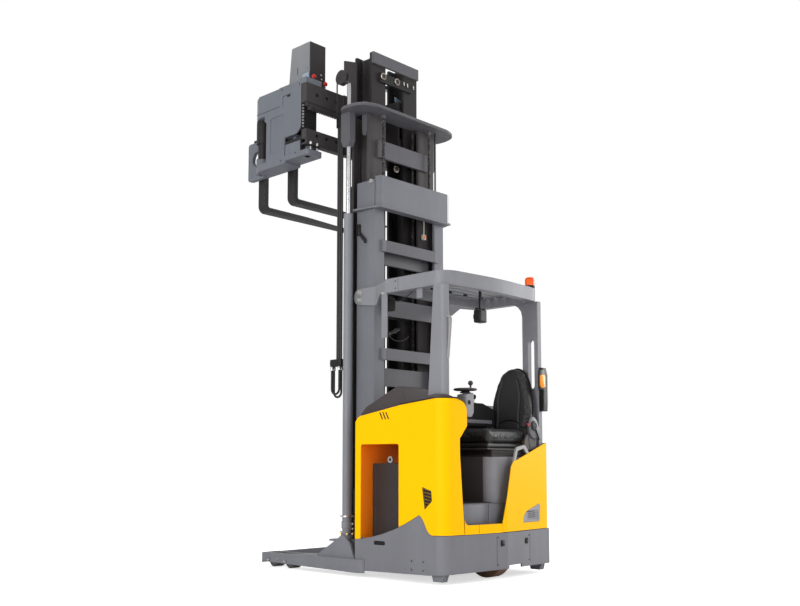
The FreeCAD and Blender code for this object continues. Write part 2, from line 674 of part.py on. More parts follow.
def loop_handle():
    """Flat grey loop that stands up behind the low rear right panel, against its inner face."""
    outer = plate_yz([(-106, 800), (-106, 862), (-140, 962), (-158, 980), (-262, 996), (-282, 990), (-334, 940),
                      (-340, 900), (-340, 860)], -120, 20)
    inner = plate_yz([(-134, 862), (-166, 950), (-254, 970), (-306, 928), (-310, 892)], -120, 20)
    skin = body_core(panel_wall, 200, 1400).cut(body_core(panel_wall + 15, 200, 1400))
    return outer.cut(inner).common(skin)


def swept_tube(points, radius, bend):
    """A tube along straight runs joined by arcs of one bend radius."""
    edges = []
    here = points[0]
    for before, corner, after in zip(points, points[1:], points[2:]):
        way_in = corner.sub(before).normalize()
        way_out = after.sub(corner).normalize()
        turn = math.acos(way_in.dot(way_out))
        reach = bend * math.tan(turn / 2)
        start, end = corner.sub(way_in * reach), corner.add(way_out * reach)
        inwards = way_out.sub(way_in).normalize()
        middle = corner.add(inwards * (bend / math.cos(turn / 2) - bend))
        edges += [Part.LineSegment(here, start).toShape(), Part.Arc(start, middle, end).toShape()]
        here = end
    edges.append(Part.LineSegment(here, points[-1]).toShape())
    ring = Part.Wire([Part.makeCircle(radius, points[0], points[1].sub(points[0]))])
    return Part.Wire(edges).makePipeShell([ring], True, True)


# ---------------------------------------------------------------- mast stages
def stage_rails(rear, outer, lip, web, top, bottom):
    """A pair of rolled mast rails: two flanges and a web, mirrored about the middle plane."""
    front = rear + mast_depth
    pieces = [block(rear, rear + flange_t, lip, outer, bottom, top),
              block(front - flange_t, front, lip, outer, bottom, top),
              block(rear, front, web, web + web_t, bottom, top)]
    rail = fuse(pieces)
    inner_corners = lambda e: runs_along(e, Z_AXIS) and rear + 1 < e.Vertexes[0].X < front - 1 and \
        min(abs(e.Vertexes[0].Y - web), abs(e.Vertexes[0].Y - web - web_t)) < 0.5
    return both_sides(soften(rail, 8, inner_corners))


def outer_rails():
    return stage_rails(mast_rear, outer_half, outer_lip, outer_half - web_t, outer_top, mast_foot)


def outer_mast():
    ties = []
    for z0, z1 in ((2567, 2662), (2043, 2180), (1684, 1778), (1180, 1270), (700, 790), (mast_foot, 260)):
        ties.append(block(mast_rear - 16, mast_rear + 10, -outer_lip - 30, outer_lip + 30, z0, z1))
    feet = both_sides(block(mast_rear, mast_rear + mast_depth, outer_half - web_t, leg_y[0], mast_foot, 128))
    lower = block(body_front, mast_rear + 3, -leg_y[0], leg_y[0], mast_foot, 240)
    return fuse(outer_rails() + ties + [lower] + feet)


def mast_crown():
    """Box-shaped head of the outer stage, with a foot plate whose wings reach the lift cylinders."""
    z0, z1 = crown_z
    half = outer_half - 8
    shell = block(crown_rear, mast_rear, -half, half, z0, z1)
    shell = soften(shell, 10, lambda e: runs_along(e, Z_AXIS) and e.Vertexes[0].X < crown_rear + 1)
    hollow = half - crown_wall
    shell = shell.cut(block(crown_rear + crown_wall, mast_rear + 1, -hollow, hollow, z0, z1 + 1))
    plate = block(crown_rear - 9, mast_rear, -outer_half - 14, outer_half + 14, z0 - 14, z0)
    tubes = both_sides(post(lift_tube_r + 0.05, lift_x, lift_y, z0 - 15, z0 + 1))
    return fuse([shell, plate] + both_sides(crown_wing(z0 - 14, z0))).cut(outer_rails() + tubes)


def crown_wing(z0, z1):
    """Side flange of the outer stage's head, curved out to the lift cylinder."""
    x0 = crown_rear - 9
    edge = Part.BSplineCurve()
    edge.interpolate([V(x0, outer_half - 20, z0), V(x0 + 52, outer_half + 22, z0), V(1000, outer_half + 42, z0),
                      V(1080, outer_half + 54, z0), V(lift_x - 28, lift_y - 23, z0)])
    rest = [V(lift_x - 28, lift_y - 23, z0), V(lift_x - 16, outer_half - 8, z0), V(x0, outer_half - 20, z0)]
    wire = Part.Wire([edge.toShape()] + Part.makePolygon(rest).Edges)
    return Part.Face(wire).extrude(V(0, 0, z1 - z0))


def middle_bottom():
    return mast_foot + middle_rest + 8


def middle_mast():
    return stage_rails(middle_rear, middle_outer, middle_lip, middle_web, middle_top, middle_bottom())


def middle_head():
    """Cross members of the middle stage, and its head plate with lobes over the lift cylinders."""
    half = middle_web + web_t - 4
    ties = [block(middle_rear - 26, middle_rear, -half, half, z0, z0 + 147)
            for z0 in (middle_top - 360, outer_top - 670, outer_top - 1670, middle_bottom() + 6)]
    z1 = middle_top + head_plate_t
    plate = block(870, inner_rear - 28, -outer_half - 6, outer_half + 6, middle_top, z1)
    plate = fuse([plate] + both_sides(middle_lobe(middle_top, z1)))
    keep_clear = block(inner_rear - stage_gap, 2000, -inner_outer - stage_gap, inner_outer + stage_gap, 0, 9000)
    plate = plate.cut(keep_clear)
    plate = soften(plate, 9, lambda e: abs(e.Vertexes[0].Z - z1) < 0.1 and abs(e.Vertexes[-1].Z - z1) < 0.1
                   and e.BoundBox.XMin < inner_rear - 30)
    hanger = plate_xz([(lift_x - 46, middle_top), (lift_x - 46, middle_top - 236), (lift_x - 22, middle_top - 286),
                       (lift_x + 34, middle_top - 286), (lift_x + 60, middle_top - 236),
                       (lift_x + 60, middle_top)], lift_y - 30, lift_y + 32)
    hanger = hanger.cut(post(lift_rod_r + 0.05, lift_x, lift_y, middle_top - 300, middle_top - 175))
    x0 = middle_rear + flange_t
    rib = plate_xz([(x0, middle_top - 150), (x0 + 20, middle_top - 180), (x0 + 42, middle_top - 180),
                    (x0 + 58, middle_top - 140), (x0 + 58, middle_top), (x0, middle_top)],
                   middle_outer - 14, middle_outer)
    return ties + [fuse([plate] + both_sides(hanger) + both_sides(rib))]


def middle_lobe(z0, z1):
    """Bulging end of the head plate round a lift cylinder."""
    edge = Part.BSplineCurve()
    edge.interpolate([V(870, outer_half - 20, z0), V(884, outer_half + 52, z0), V(922, outer_half + 124, z0),
                      V(990, outer_half + 164, z0), V(1075, lift_y + 99, z0), V(1145, lift_y + 88, z0),
                      V(1190, lift_y + 48, z0), V(1212, lift_y - 14, z0), V(1196, outer_half - 6, z0)])
    rest = [V(1196, outer_half - 6, z0), V(1180, outer_half - 20, z0), V(870, outer_half - 20, z0)]
    wire = Part.Wire([edge.toShape()] + Part.makePolygon(rest).Edges)
    return Part.Face(wire).extrude(V(0, 0, z1 - z0))


def inner_bottom():
    return mast_foot + 2 * middle_rest + 16


def hose_sheave():
    """Dark pulley for the hoses, on a bracket that stands on the middle stage's head plate."""
    z0 = middle_top + head_plate_t
    web = plate_yz([(lift_y - 110, z0), (lift_y - 40, z0), (lift_y - 40, sheave_z - 50), (lift_y + 30, sheave_z - 50),
                    (lift_y + 30, sheave_z + 130), (lift_y - 110, sheave_z + 158)], lift_x + 20, lift_x + 32)
    cap = block(lift_x - 22, lift_x + 21, lift_y - 30, lift_y + 30, sheave_z - 62, sheave_z - 50)
    cheek = block(lift_x + 30, sheave_x + 14, lift_y - 18, lift_y - 10, sheave_z - 22, sheave_z + 22)
    pin = rod(10, V(sheave_x, lift_y - 14, sheave_z), V(sheave_x, lift_y + 38, sheave_z))
    profile = [V(sheave_x, lift_y - 8, sheave_z + 11), V(sheave_x, lift_y - 8, sheave_z + sheave_r),
               V(sheave_x, lift_y - 1, sheave_z + sheave_r), V(sheave_x, lift_y + 2, sheave_z + sheave_r - 14),
               V(sheave_x, lift_y + 24, sheave_z + sheave_r - 14), V(sheave_x, lift_y + 27, sheave_z + sheave_r),
               V(sheave_x, lift_y + 34, sheave_z + sheave_r), V(sheave_x, lift_y + 34, sheave_z + 11)]
    pulley = face(profile).revolve(V(sheave_x, lift_y, sheave_z), Y_AXIS, 360)
    hub = rod(12, V(sheave_x, lift_y - 9, sheave_z), V(sheave_x, lift_y + 35, sheave_z))
    return fuse([web, cap, cheek, pin, hub, pulley])


def inner_mast():
    bottom = inner_bottom()
    rails = stage_rails(inner_rear, inner_outer, inner_lip, inner_web, inner_top, bottom)
    saddle = both_sides(block(inner_rear + mast_depth - 4, free_x + free_tube_r + 6, free_y - free_tube_r - 10,
                              inner_outer, bottom, bottom + 30))
    collar = both_sides(free_collar(middle_top - 585, middle_top - 559))
    shapes = fuse(rails[:1] + saddle[:1] + collar[:1])
    return both_sides(shapes)


def inner_head():
    """Cross members of the inner stage."""
    half = inner_web + web_t - 4
    spans = ((inner_top - 239, inner_top - 159), (outer_top - 150, outer_top - 50),
             (outer_top - 1090, outer_top - 1000), (inner_bottom() + 8, inner_bottom() + 120))
    beams = [block(inner_rear - 22, inner_rear, -half, half, z0, z1) for z0, z1 in spans]
    beams.append(block(inner_rear - 22, inner_rear, -inner_outer, inner_outer, inner_top - 97, inner_top))
    return beams


def free_collar(z0, z1):
    ring = block(inner_rear + mast_depth - 4, free_x + free_tube_r + 8, free_y - free_tube_r - 8,
                 free_y + free_tube_r + 8, z0, z1)
    return ring.cut(post(free_tube_r + 0.05, free_x, free_y, z0 - 1, z1 + 1))


def lift_tubes():
    """Lift cylinders with a foot flange and a heavy ring above it."""
    z0 = lift_tube_z[0]
    bore = lift_rod_r + rod_gap
    pieces = [post(lift_tube_r, lift_x, lift_y, *lift_tube_z), post(48, lift_x, lift_y, z0 - 16, z0 + 14),
              post(43, lift_x, lift_y, z0 + 62, z0 + 118)]
    tube = fuse(pieces).cut(post(bore, lift_x, lift_y, z0 + 30, lift_tube_z[1] + 1))
    return both_sides(tube)


def lift_rods():
    """Chromed rods into the hangers, and the stubs above the head plate."""
    rod_up = post(lift_rod_r, lift_x, lift_y, lift_tube_z[0] + 560, middle_top - 175.1)
    stub = post(lift_rod_r - 3, lift_x, lift_y, middle_top + head_plate_t, sheave_z - 62)
    return both_sides(rod_up) + [stub]


def free_tubes():
    z0 = inner_bottom() + 30.1
    outer = post(free_tube_r, free_x, free_y, z0, crosshead_z - free_stroke - 13)
    return both_sides(outer.cut(post(free_rod_r + rod_gap, free_x, free_y, z0 + 30, crosshead_z)))


def free_rods():
    """Free-lift rods and the crosshead with its two chain wheels."""
    top = crosshead_z + 2
    rods = both_sides(post(free_rod_r, free_x, free_y, crosshead_z - 2008, top))
    head = block(free_x - 22, free_x + 22, -free_y - 24, free_y + 24, top - 2, top + 30)
    cheeks = []
    for side in (-1, 1):
        y = side * (free_y + 60)
        wheel = rod(46, V(free_x, y - 12, top + 20), V(free_x, y + 12, top + 20))
        groove = rod(60, V(free_x, y - 5, top + 20), V(free_x, y + 5, top + 20)).cut(
            rod(40, V(free_x, y - 6, top + 20), V(free_x, y + 6, top + 20)))
        pin = rod(13, V(free_x, side * free_y, top + 15), V(free_x, side * (free_y + 76), top + 15))
        cheeks += [wheel.cut(groove), pin]
    return fuse(rods + [head] + cheeks)


# ---------------------------------------------------------------- carriage and head
def lift_carriage():
    """Side plates with rollers that run inside the inner stage, tied by cross plates."""
    z0, z1 = carriage_z
    cavity_x = inner_rear + mast_depth / 2
    reach = inner_lip - stage_gap
    side = plate_xz([(cavity_x - 60, z0 + 40), (rail_x[0] + 2, z0), (rail_x[0] + 2, z1), (cavity_x - 60, z1 - 20)],
                    reach - 22, reach)
    rollers = []
    for z in (z0 + 110, z1 - 130):
        roller = rod(70, V(cavity_x, reach - 1, z), V(cavity_x, inner_web - stage_gap, z))
        rollers.append(soften(roller, 6, lambda e: abs(e.Vertexes[0].Y - inner_web + stage_gap) < 0.1))
    backing = block(rail_x[0] - 18, rail_x[0] + 2, -320, 320, z0, z0 + 160)
    backing_top = block(rail_x[0] - 18, rail_x[0] + 2, -320, 320, z1 - 150, z1 - 4)
    parts = both_sides(side)
    for roller in rollers:
        parts += both_sides(roller)
    return fuse(parts + [backing, backing_top])


def rack_teeth():
    teeth = []
    pitch = 25.0
    root = rail_upper_z[0] - 24
    count = int((2 * rail_half - 60) / pitch)
    for index in range(count):
        y = -rail_half + 40 + pitch * index
        teeth.append(plate_yz([(y - 9, root), (y + 9, root), (y + 4, rack_z), (y - 4, rack_z)],
                              rail_x[0] + 12, rail_x[1] - 8))
    return teeth


def traverse_frame():
    """Two cross rails with round holes, uprights between them and the toothed rack."""
    x0, x1 = rail_x
    upper = block(x0 + 2.05, x1, -rail_half, rail_half, *rail_upper_z)
    lower = block(x0 + 2.05, x1, -rail_half, rail_half, *rail_lower_z)
    flange = block(x0 + 2.05, x1, -rail_half, rail_half, keel_z, keel_z + 14)
    keel = block(x0 + 2.05, x0 + 16, -rail_half, rail_half, keel_z, rail_lower_z[0] + 2)
    holes = []
    for z in (sum(rail_upper_z) / 2, sum(rail_lower_z) / 2):
        for y in range(-605, 606, 110):
            holes.append(rod(16, V(x0 - 2, y, z), V(x0 + 30, y, z)))
    uprights = both_sides(block(x0 + 2.05, x0 + 22, 250, 316, rail_lower_z[1] - 10, rail_upper_z[0] + 10))
    backing = block(x0 + 12, x1 - 8, -rail_half + 20, rail_half - 20, rail_upper_z[0] - 25, rail_upper_z[0] + 2)
    return fuse([upper.fuse(backing), lower, flange, keel] + uprights + rack_teeth()).cut(holes)


def head_outline():
    """Side view of the head's cheek: long upper arm, waist, and a short lower arm under it."""
    nose = pivot_x - 45
    waist = (1700, 1950)
    return [(head_x, rail_top - 409), (head_x, head_top), (nose, head_top), (nose, arm_upper_z),
            (1975, arm_upper_z), (1975, rail_top - 203), (waist[1], rail_top - 222), (waist[1], arm_lower_z[1]),
            (nose, arm_lower_z[1]), (nose, arm_lower_z[0]), (waist[0], arm_lower_z[0]), (waist[0], rail_top - 409)]


def head_arm(x0, z0, z1):
    """An arm of the head, which narrows to a round end about the pivot."""
    tip = nose_r * 0.8
    plan = [(x0, -head_half), (pivot_x - 45, -head_half), (pivot_x + nose_r * 0.6, -tip),
            (pivot_x + nose_r * 0.6, tip), (pivot_x - 45, head_half), (x0, head_half)]
    bar = plate_xy([(x, pivot_y + y) for x, y in plan], z0, z1)
    return bar.fuse(post(nose_r, pivot_x, pivot_y, z0, z1)).removeSplitter()


def traverse_head():
    """Fixed part of the head: two cheeks, upper and lower arm with round ends, hooks over the rails."""
    half = head_half
    y0, y1 = pivot_y - half, pivot_y + half
    cheeks = []
    for y in (y1 - head_plate, y0):
        cheek = plate_xz(head_outline(), y, y + head_plate)
        cheeks.append(soften(cheek, 86, lambda e: runs_along(e, Y_AXIS) and abs(e.Vertexes[0].X - head_x) < 1
                             and e.Vertexes[0].Z < rail_top - 400))
    upper = head_arm(head_x, arm_upper_z, head_top)
    lower = head_arm(1690, *arm_lower_z)
    shelf = block(arm_lower_rear, 1700, y0, y1, arm_lower_z[0] + 20, arm_lower_z[1])
    shelf = soften(shelf, 26, lambda e: runs_along(e, Z_AXIS) and e.Vertexes[0].X < arm_lower_rear + 1)
    web = block(1920, 1938, y0, y1, arm_lower_z[0] + 20, arm_upper_z + 10)
    back = block(head_x, head_x + 14, y0, y1, rail_top - 320, arm_upper_z + 4)
    floor = block(head_x + 90, 1938, y0, y1, rail_top - 409, rail_top - 397)
    hook = block(rail_x[0] + 6, head_x + 20, y0, y1, rail_top + 5, head_top + 14)
    link = block(head_x + 120, head_x + 150, pivot_y - 40, pivot_y + 40, arm_lower_z[1] - 5, rail_top - 400)
    guide = block(rail_x[0] + 6, head_x + 150, pivot_y - 40, pivot_y + 40, keel_z - 20, keel_z - 6)
    shape = fuse(cheeks + [upper, lower, shelf, web, back, floor, hook, link, guide])
    bore = post(shaft_r + 0.05, pivot_x, pivot_y, arm_lower_z[0] - 80, head_top + 80)
    hole = post(30, arm_lower_rear + 62, pivot_y + 20, arm_lower_z[0], arm_lower_z[1] + 5)
    pocket = block(head_x + 60, pivot_x - 125, y0 + head_plate, y1 - head_plate, arm_upper_z + 20, head_top - 14)
    recess = block(1700 + 10, 1895, y1 - 5, y1 + 1, rail_top - 511, rail_top - 200)
    return shape.cut([bore, hole, pocket, recess])


def swivel_motor():
    """Sheet-metal box over the swivel drive, wider at its foot."""
    x0 = head_x + 18
    y0, y1 = pivot_y - 198, pivot_y - 18
    z0, z1 = head_top + 14.05, head_top + 382
    shell = plate_xz([(x0, z0), (x0, z1), (x0 + 242, z1), (x0 + 279, z0)], y0, y1)
    shell = soften(shell, 16, lambda e: max(vertex.Z for vertex in e.Vertexes) > z0 + 1)
    tray = block(x0 - 6, x0 + 300, y0 - 6, pivot_y + 62, head_top + 0.05, z0 + 6)
    tray = tray.cut(block(0, head_x + 22, 0, 1000, 0, head_top + 14.05))
    return fuse([shell, tray])


def swivel_carriage():
    """Turning part: shaft, hub and the fork plate with its two large round holes."""
    near, far = swivel_plate
    plate_y = (pivot_y - far, pivot_y - near)
    middle_z = rail_top - 422
    plate = block(pivot_x - swivel_half, pivot_x + swivel_half, plate_y[0], plate_y[1], *swivel_z)
    plate = soften(plate, 24, lambda e: runs_along(e, Y_AXIS))
    windows = [rod(76, V(pivot_x + s * (swivel_half - 135), plate_y[0] - 1, middle_z),
                   V(pivot_x + s * (swivel_half - 135), plate_y[1] + 1, middle_z)) for s in (-1, 1)]
    shaft = post(shaft_r, pivot_x, pivot_y, arm_lower_z[0] + 6, head_top + 6)
    z0, z1 = arm_lower_z[1] + 8, arm_upper_z - 8
    hub = post(58, pivot_x, pivot_y, z0, z1)
    neck = block(pivot_x - 58, pivot_x + 58, plate_y[1] - 2, pivot_y, z0, swivel_z[1] - 20)
    waist = post(60, pivot_x, pivot_y, z0 + 60, z1 - 200).cut(post(44, pivot_x, pivot_y, z0 + 50, z1 - 190))
    low_bar = block(pivot_x - swivel_half + 10, pivot_x + swivel_half - 10, plate_y[0] - 20, plate_y[0] + 2,
                    swivel_z[0] + 6, swivel_z[0] + 76)
    return fuse([plate.cut(windows), hub, neck, shaft, low_bar]).cut([waist.common(hub)])


def fork(side):
    """L-shaped fork with a rounded heel, a tapering blade and a hook over the plate's top."""
    x = pivot_x + side * fork_half_spread
    back = pivot_y - swivel_plate[1] - 20.3
    z0 = fork_bottom
    neck_z = swivel_z[1] - 22
    tip = back - fork_length
    heel = fork_heel_r
    bow = 1 - math.sqrt(0.5)
    arc_out = Part.Arc(V(0, back, z0 + heel), V(0, back - heel * bow, z0 + heel * bow), V(0, back - heel, z0))
    inner_r = 18.0
    inside = back - fork_t
    top = z0 + fork_t
    arc_in = Part.Arc(V(0, inside - inner_r, top), V(0, inside - inner_r * bow, top + inner_r * bow),
                      V(0, inside, top + inner_r))
    shank = Part.makePolygon([V(0, back, neck_z), V(0, back, z0 + heel)])
    lower = Part.makePolygon([V(0, back - heel, z0), V(0, tip, z0), V(0, tip, z0 + 12), V(0, back - 500, top - 4),
                              V(0, inside - inner_r, top)])
    upper = Part.makePolygon([V(0, inside, top + inner_r), V(0, inside, neck_z), V(0, back, neck_z)])
    wire = Part.Wire(shank.Edges + [arc_out.toShape()] + lower.Edges + [arc_in.toShape()] + upper.Edges)
    blade = Part.Face(wire).extrude(V(fork_w, 0, 0)).translate(V(x - fork_w / 2, 0, 0))
    tapers = []
    for way in (-1, 1):
        side = way * fork_w
        tapers.append(plate_xy([(x + side, tip - 1), (x + side, tip + 140), (x + side / 2, tip + 140),
                                (x + side / 5, tip - 1)], z0 - 50, z0 + 200))
    hook = block(x - fork_w / 2, x + fork_w / 2, back, pivot_y - swivel_plate[0] + 4, swivel_z[1] + 0.3,
                 swivel_z[1] + 18)
    neck = block(x - fork_w / 2, x + fork_w / 2, inside, back, neck_z - 10, swivel_z[1] + 18)
    return fuse([blade.cut(tapers), neck, hook])


# ---------------------------------------------------------------- drive
def drive_unit():
    """Steered drive: turntable ring, gearbox cheek beside the wheel and the upright motor."""
    ring = post(140, drive_x, drive_y, 344, 372)
    motor = post(80, drive_x, drive_y, 372, 640)
    motor = soften(motor, 14, lambda e: e.Vertexes[0].Z > 639)
    cheek_y = drive_y + drive_wheel_w / 2 + 8
    cheek = plate_xz([(drive_x - 70, 343), (drive_x + 70, 343), (drive_x + 60, 150), (drive_x + 30, 110),
                      (drive_x - 30, 110), (drive_x - 60, 150)], cheek_y, cheek_y + 46)
    hub = rod(38, V(drive_x, drive_y + 0.3 + drive_wheel_w / 2 - 30, drive_wheel_r),
              V(drive_x, cheek_y + 1, drive_wheel_r))
    return fuse([ring, motor, cheek, hub])


def drive_wheel():
    y0, y1 = drive_y - drive_wheel_w / 2, drive_y + drive_wheel_w / 2
    tyre = rod(drive_wheel_r, V(drive_x, y0, drive_wheel_r), V(drive_x, y1, drive_wheel_r))
    tyre = soften(tyre, 8, lambda e: True if len(e.Vertexes) == 1 else False)
    dish = rod(110, V(drive_x, y0 - 1, drive_wheel_r), V(drive_x, y0 + 24, drive_wheel_r))
    socket = rod(38.4, V(drive_x, y1 - 31, drive_wheel_r), V(drive_x, y1 + 1, drive_wheel_r))
    back_dish = rod(110, V(drive_x, y1 - 20, drive_wheel_r), V(drive_x, y1 + 1, drive_wheel_r))
    return tyre.cut([dish, socket, back_dish])


# ---------------------------------------------------------------- hoses
def hose_bundle():
    """Flat pack of hoses down the mast's left side, with two loops below its clamp."""
    y = lift_y - 6
    hoses = [post(10, lift_x + 84 + 22 * index, y, 1660, middle_top - 40) for index in range(3)]
    loops = []
    for shift in (-12, 12):
        x, bend = lift_x + 92, 44
        path = [V(x, y + shift, 1655), V(x, y + shift, 1404 + shift), V(x + 2 * bend, y + shift, 1404 + shift),
                V(x + 2 * bend, y + shift, 1655)]
        loops.append(swept_tube(path, 9, bend - 0.5))
    clamp = block(lift_x + 66, lift_x + 196, lift_y - 30, lift_y + 18, 1640, 1700)
    clamp = soften(clamp, 8, lambda e: runs_along(e, Z_AXIS))
    guide = block(lift_x + 60.1, lift_x + 146, lift_y - 24, lift_y + 8, middle_top - 95, middle_top - 0.05)
    return fuse([clamp, guide] + hoses + loops)


# ---------------------------------------------------------------- write every sub-part
def main():
    os.makedirs("parts", exist_ok=True)
    save("chassis_frame", chassis_frame())
    arm = leg()
    save("leg_left", arm)
    save("leg_right", mirrored(arm))
    save("front_beam", front_beam())
    for side, word in ((1, "left"), (-1, "right")):
        save("load_wheel_rear_" + word, load_wheel(load_wheel_x[0], side))
        save("load_wheel_front_" + word, load_wheel(load_wheel_x[1], side))
    save("side_panel_left", side_panel_left())
    save("side_panel_right", side_panel_right())
    save("rear_panel_right", rear_panel_right())
    save("rear_vent", rear_vent())
    save("rear_sill", rear_sill())
    save("battery_bay", battery_bay())
    save("battery", battery())
    save("front_cowl", front_cowl())
    save("entry_step", entry_step())
    save("cab_wall", cab_wall())
    save("seat_pedestal", seat_pedestal())
    save("seat_base", seat_base())
    save("seat_cushion", seat_cushion())
    save("seat_back", seat_back())
    save("steering_console", steering_console())
    save("steering_disc", steering_disc())
    save("lever_console", lever_console())
    guard = guard_frame()
    save("overhead_guard", guard)
    save("lamps", beacon(), lamp_pod(), *work_lamps(guard))
    save("grab_handles", grab_handle(guard), loop_handle())
    save("outer_mast", outer_mast())
    save("mast_crown", mast_crown())
    save("lift_tubes", *lift_tubes())
    save("middle_mast", *middle_mast())
    save("middle_head", *middle_head())
    save("hose_sheave", hose_sheave())
    save("lift_rods", *lift_rods())
    save("hose_bundle", hose_bundle())
    save("inner_mast", *inner_mast())
    save("inner_head", *inner_head())
    save("free_lift_tubes", *free_tubes())
    save("free_lift_rods", free_rods())
    save("lift_carriage", lift_carriage())
    save("traverse_frame", traverse_frame())
    save("traverse_head", traverse_head())
    save("swivel_motor", swivel_motor())
    save("swivel_carriage", swivel_carriage())
    save("fork_front", fork(1))
    save("fork_rear", fork(-1))
    save("drive_unit", drive_unit())
    save("drive_wheel", drive_wheel())


main()
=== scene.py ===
# %% [markdown]
# # A very narrow aisle truck, finished in Blender
# The steelwork of this truck arrives as a fixed frame of CAD nodes: the chassis, the mast stages, the fork head and
# so on, each at its real place in metres. This script gives every surface its finish and adds the pieces that CAD
# leaves out: the upholstered seat, hoses, chains, bolts, lamps, controls and trim.
# %% Load the frame
import json
from math import cos, radians, sin, tau

import bmesh
import bpy
from mathutils import Matrix, Vector


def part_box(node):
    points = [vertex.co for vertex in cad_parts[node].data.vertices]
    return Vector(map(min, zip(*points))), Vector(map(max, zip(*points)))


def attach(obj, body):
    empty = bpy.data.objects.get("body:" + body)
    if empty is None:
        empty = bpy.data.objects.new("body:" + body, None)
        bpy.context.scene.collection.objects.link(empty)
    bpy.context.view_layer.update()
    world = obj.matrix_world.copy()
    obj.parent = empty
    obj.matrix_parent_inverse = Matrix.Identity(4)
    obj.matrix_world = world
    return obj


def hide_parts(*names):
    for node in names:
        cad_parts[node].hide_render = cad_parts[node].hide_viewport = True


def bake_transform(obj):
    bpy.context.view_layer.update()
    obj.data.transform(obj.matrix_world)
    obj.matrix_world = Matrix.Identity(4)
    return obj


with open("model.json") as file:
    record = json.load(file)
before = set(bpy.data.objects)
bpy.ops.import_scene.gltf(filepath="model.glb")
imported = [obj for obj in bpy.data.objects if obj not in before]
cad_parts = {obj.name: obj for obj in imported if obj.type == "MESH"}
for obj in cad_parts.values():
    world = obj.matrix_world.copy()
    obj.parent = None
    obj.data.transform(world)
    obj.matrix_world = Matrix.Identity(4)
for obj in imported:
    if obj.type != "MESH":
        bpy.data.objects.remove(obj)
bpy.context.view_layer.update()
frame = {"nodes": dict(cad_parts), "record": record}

nodes = frame["nodes"]

# %% [markdown]
# ## Camera
# The truck is looked at from behind and to its left, from a little under a metre above the floor, so that the mast
# leans back into perspective. A camera's shift slides the picture without tilting the view, which keeps the
# verticals of the mast as steep as they are.
# %% Camera
eye = Vector((-5.698, 5.820, 0.852))
heading, lift = radians(43.67), radians(5.53)
look = Vector((sin(heading) * cos(lift), -cos(heading) * cos(lift), sin(lift)))
camera = bpy.data.objects.new("camera", bpy.data.cameras.new("camera"))
camera.data.sensor_width = 36.0
camera.data.lens = 43.58
camera.data.shift_y = 0.0838
camera.location = eye
camera.rotation_euler = look.to_track_quat("-Z", "Y").to_euler()
scene = bpy.context.scene
scene.collection.objects.link(camera)
scene.camera = camera
scene.view_settings.view_transform = "Standard"
print("camera at", tuple(eye))

# %% [markdown]
# ## Shader maths as plain Python
# A procedural finish is mostly arithmetic on patterns: noise times a mask, one minus an edge. Wiring each Math node
# by hand hides that arithmetic, so a small class wraps an output socket and lets Python's own operators add the
# nodes. Any other node comes from one method that takes the node's type, its settings and the values of its inputs.
# %% Links and finishes
class Link:
    """One output of a shader node, with Python's arithmetic on it."""

    def __init__(self, wiring, socket):
        self.wiring = wiring
        self.socket = socket

    def other(self, name):
        """Another output of the same node."""
        return Link(self.wiring, self.socket.node.outputs[name])

    def maths(self, operation, *values):
        return self.wiring.node("Math", dict(operation=operation), *values)

    def __add__(self, value):
        return self.maths("ADD", self, value)

    def __sub__(self, value):
        return self.maths("SUBTRACT", self, value)

    def __mul__(self, value):
        return self.maths("MULTIPLY", self, value)

    def __pow__(self, value):
        return self.maths("POWER", self, value)

    def __radd__(self, value):
        return self.maths("ADD", value, self)

    def __rsub__(self, value):
        return self.maths("SUBTRACT", value, self)

    def __rmul__(self, value):
        return self.maths("MULTIPLY", value, self)

    def between(self, low, high):
        """0 below low, 1 above high and a smooth step in between; low may be the greater."""
        settings = dict(interpolation_type="SMOOTHSTEP")
        return self.wiring.node("MapRange", settings, Value=self, From_Min=low, From_Max=high)


class Wiring:
    """A node tree that is being wired."""

    def __init__(self, tree):
        self.tree = tree

    def node(self, kind, settings=None, *values, **named):
        node = self.tree.nodes.new("ShaderNode" + kind)
        for key, value in (settings or {}).items():
            if key == "stops":
                while len(node.color_ramp.elements) < len(value):
                    node.color_ramp.elements.new(1.0)
                for element, (position, colour) in zip(node.color_ramp.elements, value):
                    element.position = position
                    element.color = (*colour, 1.0)
            else:
                setattr(node, key, value)
        for index, value in enumerate(values):
            self.feed(node.inputs[index], value)
        for key, value in named.items():
            self.feed(node.inputs[key.replace("_", " ")], value)
        return Link(self, node.outputs[0])

    def feed(self, socket, value):
        if isinstance(value, Link):
            self.tree.links.new(value.socket, socket)
        elif hasattr(value, "__len__") and len(value) == 3 and socket.type == "RGBA":
            socket.default_value = (*value, 1.0)
        else:
            socket.default_value = value


slot_of = {}  # the name of the material slot that each finish goes in, by the finish's own name


